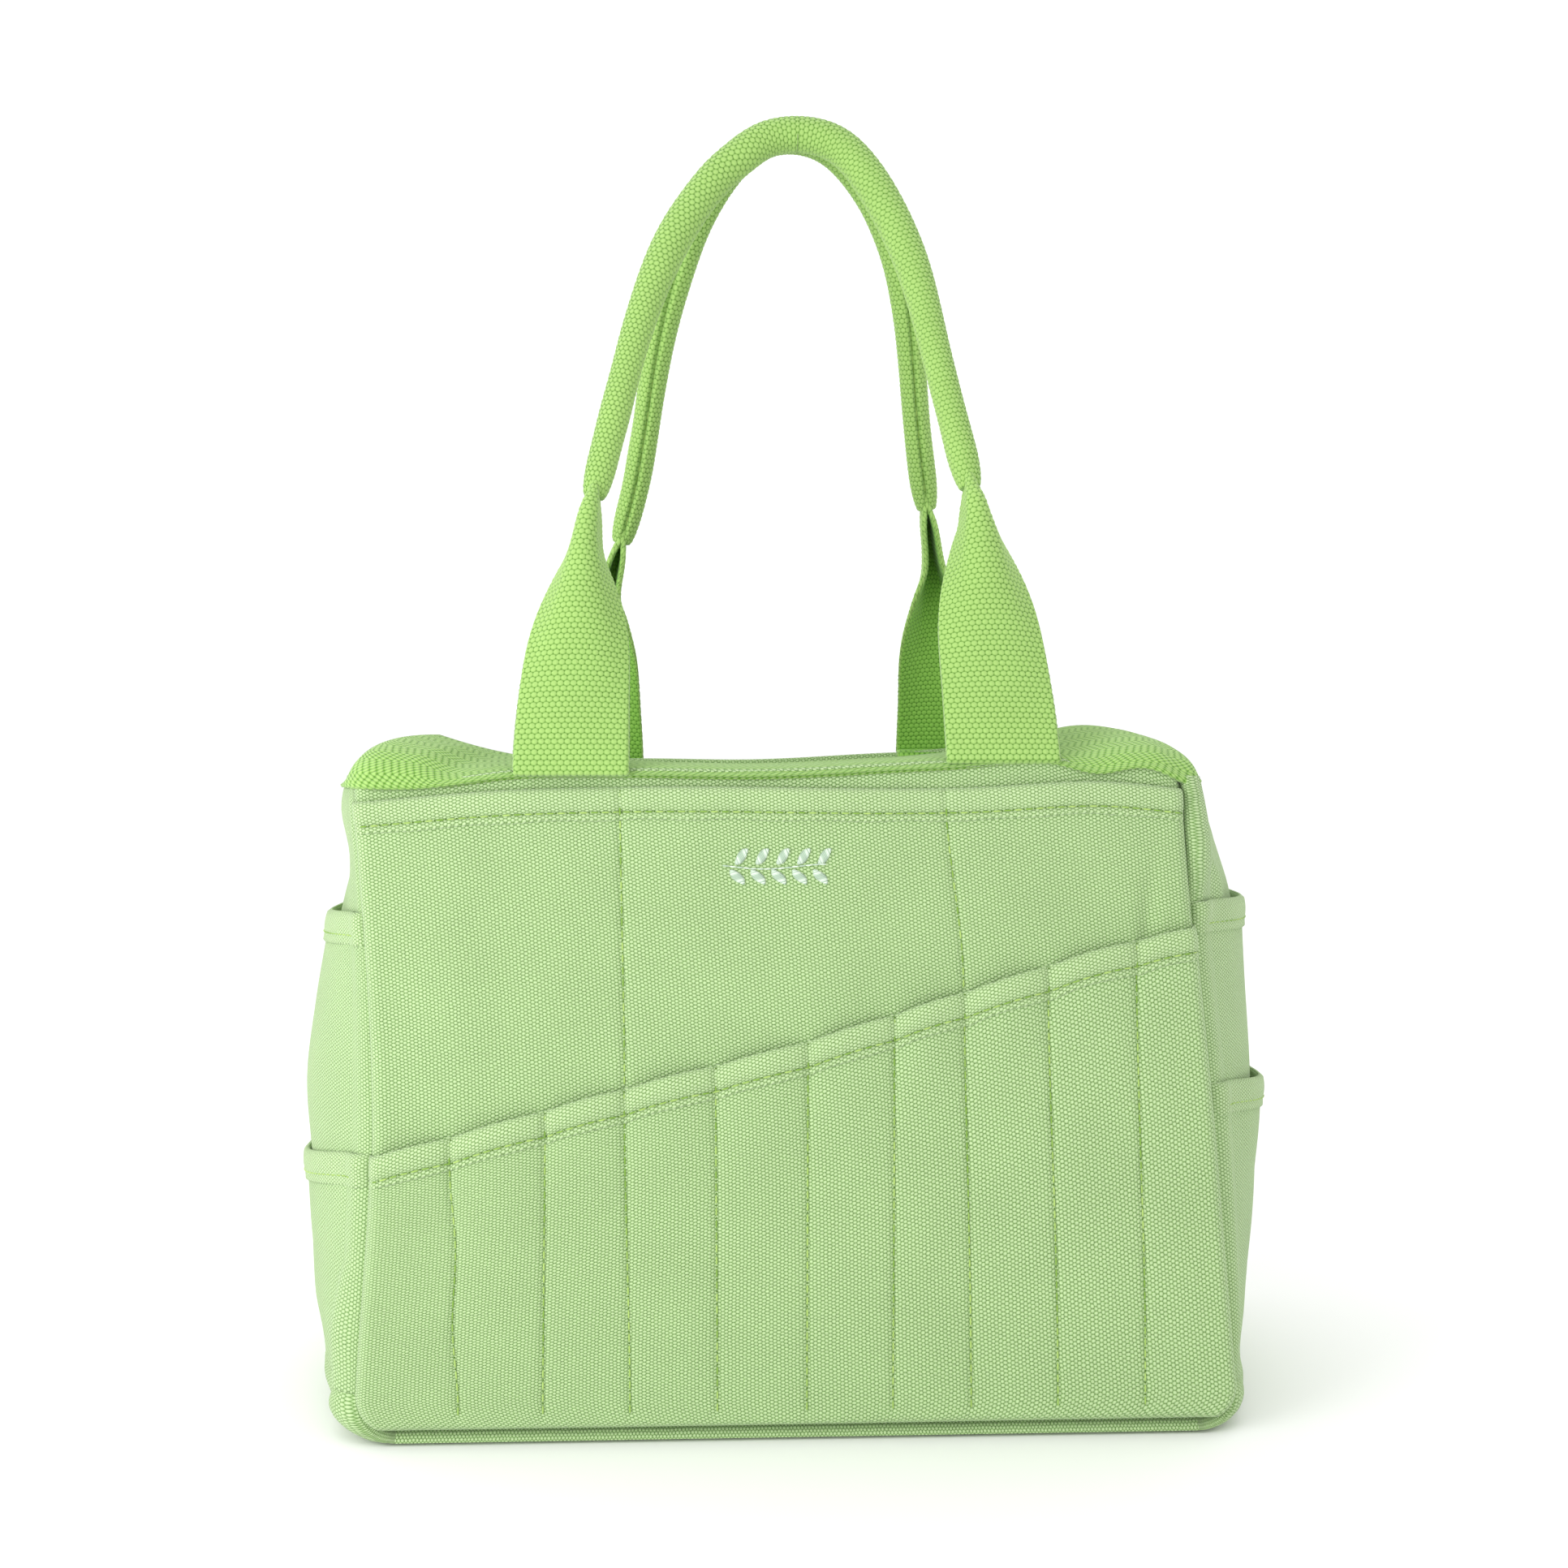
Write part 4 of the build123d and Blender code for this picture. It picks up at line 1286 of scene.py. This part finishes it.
def make_grip_stitching(name, back):
    """Thread across the slit, and the bar of thread at each end of the grip."""
    origin, up, outwards = handle_axes(back)
    x, along, _ = grip_line(back, 8.0, 700)
    line = origin + ACROSS * x[:, None] + up * along[:, None] - outwards * SEAM_DEPTH
    rows = [(line, np.tile(-outwards, (len(line), 1)))]
    for end in (0, -1):
        spot = origin + ACROSS * x[end] + up * (along[end] - BAR_DROP)
        for step in range(BAR_THREADS):
            bar = spot + up * step + outwards * BAR_OUT
            ends = [bar + ACROSS * half for half in (-BAR_HALF, BAR_HALF)]
            rows.append((np.array(ends), np.tile(outwards, (2, 1))))
    piece = stitch_piece(name, rows, THREAD_LOOK, SEAM_STITCH, holes=False)
    dress(piece, handle_body(back), [name])


# ---- inside and trim ----


TAPE_INSET = 2.0  # from the seam to the tape's edge
TAPE_REACH = 9.0  # width that the folded tape covers
TAPE_OFF = 2.2  # how far it lies off the wall
TAPE_FOLD = 0.8  # how much further its middle stands off


def make_binding(name, back):
    """Tape folded over the raw inner edge of a seam."""
    path, outward = gusset_path(back)
    sign = 1 if back else -1
    t = np.linspace(0, 1, 9)[None, :]
    inset = TAPE_INSET + TAPE_REACH * t
    x = path[:, 0][:, None] - outward[:, 0][:, None] * inset
    z = path[:, 1][:, None] - outward[:, 1][:, None] * inset
    y = sign * (SEAM_Y + SEAM_ROLL - CANVAS - TAPE_OFF - TAPE_FOLD * arch(t)) + 0 * x
    grid = stack(x, y, np.minimum(z, RIM_Z - 2))
    if not back:
        grid = grid[:, ::-1]
    piece = cloth(name, grid, cloth_uv(grid), TAPE, TAPE_LOOK)
    dress(piece, "bag", [name])


SPRIG_SHIFT = -8.0  # the sprig's middle, across
STEM_STITCH = 2.4
LEAF_PAIRS = 5
LEAF_PITCH = 7.4
LEAF_LENGTH = 6.4
LEAF_HALF = 1.75  # half the width of a leaf
LEAF_LEAN = 0.85  # angle between a leaf and the stem
LEAF_STITCHES = 14
SATIN = (0.27, 0.22)  # half width and half height of a satin thread


def leaf_rows(root, lean):
    """Slanted stitches side by side, from a leaf's root to its tip: their two ends, (x, z)."""
    ahead = np.array([math.cos(lean), math.sin(lean)])
    beside = np.array([-ahead[1], ahead[0]])
    for share in np.linspace(0, 1, LEAF_STITCHES):
        at = 1.0 + LEAF_LENGTH * share
        half = LEAF_HALF * math.sin(math.pi * (0.08 + 0.86 * share)) ** 0.8
        yield [root + ahead * (at + 0.5 * half * way) + beside * half * way for way in (-1, 1)]


def make_sprig():
    """Embroidered sprig of satin stitches: a stem with pairs of leaves."""
    low, high = node_box("sprig_embroidery")
    z_mid = (low[2] + high[2]) / 2
    stem_x = np.linspace(-18, 19, 30) + SPRIG_SHIFT
    rows = [(wall_line(stem_x, z_mid + 0.8 * np.sin(stem_x / 7.0), 1, 0, 0.25), STEM_STITCH)]
    for pair in range(LEAF_PAIRS):
        for up in (-1, 1):
            root_x = -15.5 + LEAF_PITCH * pair + 1.5 * (up > 0) + SPRIG_SHIFT
            root = np.array([root_x, z_mid + 0.5 * up])
            for start, stop in leaf_rows(root, up * LEAF_LEAN):
                xs, zs = np.linspace(start, stop, 3).T
                rows.append((wall_line(xs, zs, 1, 0, 0.25), None))
    dress(satin_piece("sprig_embroidery", rows), "bag", ["sprig_embroidery"])


def satin_piece(name, rows):
    """Smooth threads: each row is ((points, directions), pitch), and no pitch means one long stitch."""
    thick = np.array([0.45, 0.8, 0.97, 1.0, 0.97, 0.8, 0.45])
    rise = 0.28 * (1 - STATIONS**2)
    threads = Threads()
    for (line, normals), pitch in rows:
        travelled = travel(line)
        count = 1 if pitch is None else int(travelled[-1] / pitch)
        for k in range(count):
            centre = (k + 0.5) * travelled[-1] / count
            path = along_line(centre + STATIONS * travelled[-1] / count * 0.5, travelled, line)
            out, ahead = normals[0], unit(path[-1] - path[0])
            threads.bar(path + out * rise[:, None], out, ahead, thick, SATIN, (centre, k * 0.7))
    return threads.mesh(name, [SPRIG_LOOK])


# ---- studio ----


def make_stage():
    """Pale floor, wide enough to meet the white world at the horizon."""
    half = 30_000.0
    drop = 0.2
    corners = [(-half, -half, -drop), (half, -half, -drop), (half, half, -drop), (-half, half, -drop)]
    recipe = Recipe("studio_paper")
    recipe.shader.inputs["Base Color"].default_value = (0.94, 0.94, 0.94, 1)
    recipe.shader.inputs["Roughness"].default_value = 0.95
    floor = add_mesh("studio_floor", corners, [[0, 1, 2, 3]], np.zeros((4, 2)), [recipe.material])


MIDDLE = (0, 0, 0.2)
# name, place, target, width and height, power
LIGHTS = [
    ("key", (-0.95, -0.75, 0.62), MIDDLE, 0.6, 5.2),
    ("low", (-0.62, -0.72, 0.16), (-0.12, -0.09, 0.08), 0.45, 2.2),
    ("fill", (1.5, -1.1, 0.8), MIDDLE, 1.4, 0.5),
    ("top", (0.1, 0.5, 1.9), MIDDLE, 1.6, 3),
]
WORLD_LIGHT = 1.1


def make_light():
    world = bpy.data.worlds.new("studio")
    world.use_nodes = True
    world.node_tree.nodes["Background"].inputs[0].default_value = (1, 1, 1, 1)
    world.node_tree.nodes["Background"].inputs[1].default_value = WORLD_LIGHT
    bpy.context.scene.world = world
    for name, place, target, size, power in LIGHTS:
        data = bpy.data.lights.new(name, "AREA")
        data.shape = "RECTANGLE"
        data.size, data.size_y = size, size
        data.energy = power
        lamp = bpy.data.objects.new(name, data)
        lamp.location = place
        lamp.rotation_euler = (Vector(target) - Vector(place)).to_track_quat("-Z", "Y").to_euler()
        bpy.context.scene.collection.objects.link(lamp)
    bpy.context.scene.view_settings.view_transform = "Standard"


CAMERA_TARGET = (-0.004, -0.086, 0.258)
CAMERA_DISTANCE = 0.677
CAMERA_TURN = math.radians(-2.5)


def make_camera():
    """Level camera, raised in the picture by its shift."""
    data = bpy.data.cameras.new("camera")
    data.sensor_width = 36.0
    data.lens = 43.5
    data.shift_y = -0.0414
    camera = bpy.data.objects.new("camera", data)
    x, y, z = CAMERA_TARGET
    x = x + math.sin(CAMERA_TURN) * CAMERA_DISTANCE
    y = y - math.cos(CAMERA_TURN) * CAMERA_DISTANCE
    camera.location = (x, y, z)
    camera.rotation_euler = (math.radians(90), 0, CAMERA_TURN)
    bpy.context.scene.collection.objects.link(camera)
    bpy.context.scene.camera = camera


# ---- the whole bag ----

make_camera()
make_stage()
make_light()

make_rim()
make_wall("front_panel", 0)
make_wall("back_panel", 1)
make_gusset()
make_pocket("front_upper_pocket", ["front_upper_pocket"], upper_hem_top, 1, 0)
make_pocket("front_slant_pocket", ["front_slant_pocket"], slant_hem_top, 2, 0)
make_pocket("back_pocket", ["back_pocket"], upper_hem_top, 1, 1)
make_front_stitching()
make_back_stitching()
for side, word in ((-1, "left"), (1, "right")):
    make_side_pockets(side, word)
make_sprig()
for back, word in ((0, "front"), (1, "back")):
    make_binding(f"{word}_seam_binding", back)

for back, word in ((0, "front"), (1, "back")):
    for side, side_word in ((-1, "left"), (1, "right")):
        nodes = [f"{word}_{side_word}_strap", f"{word}_{side_word}_strap_end"]
        make_leg(f"{word}_{side_word}_strap", back, side, nodes)
    make_grip(f"{word}_grip", back, [f"{word}_grip"])
    make_grip_stitching(f"{word}_grip_stitching", back)
    make_grip_core(f"{word}_grip_core", back)

board = frame["nodes"]["base_board"]
board.data.materials.clear()
board.data.materials.append(CANVAS_LOOK)
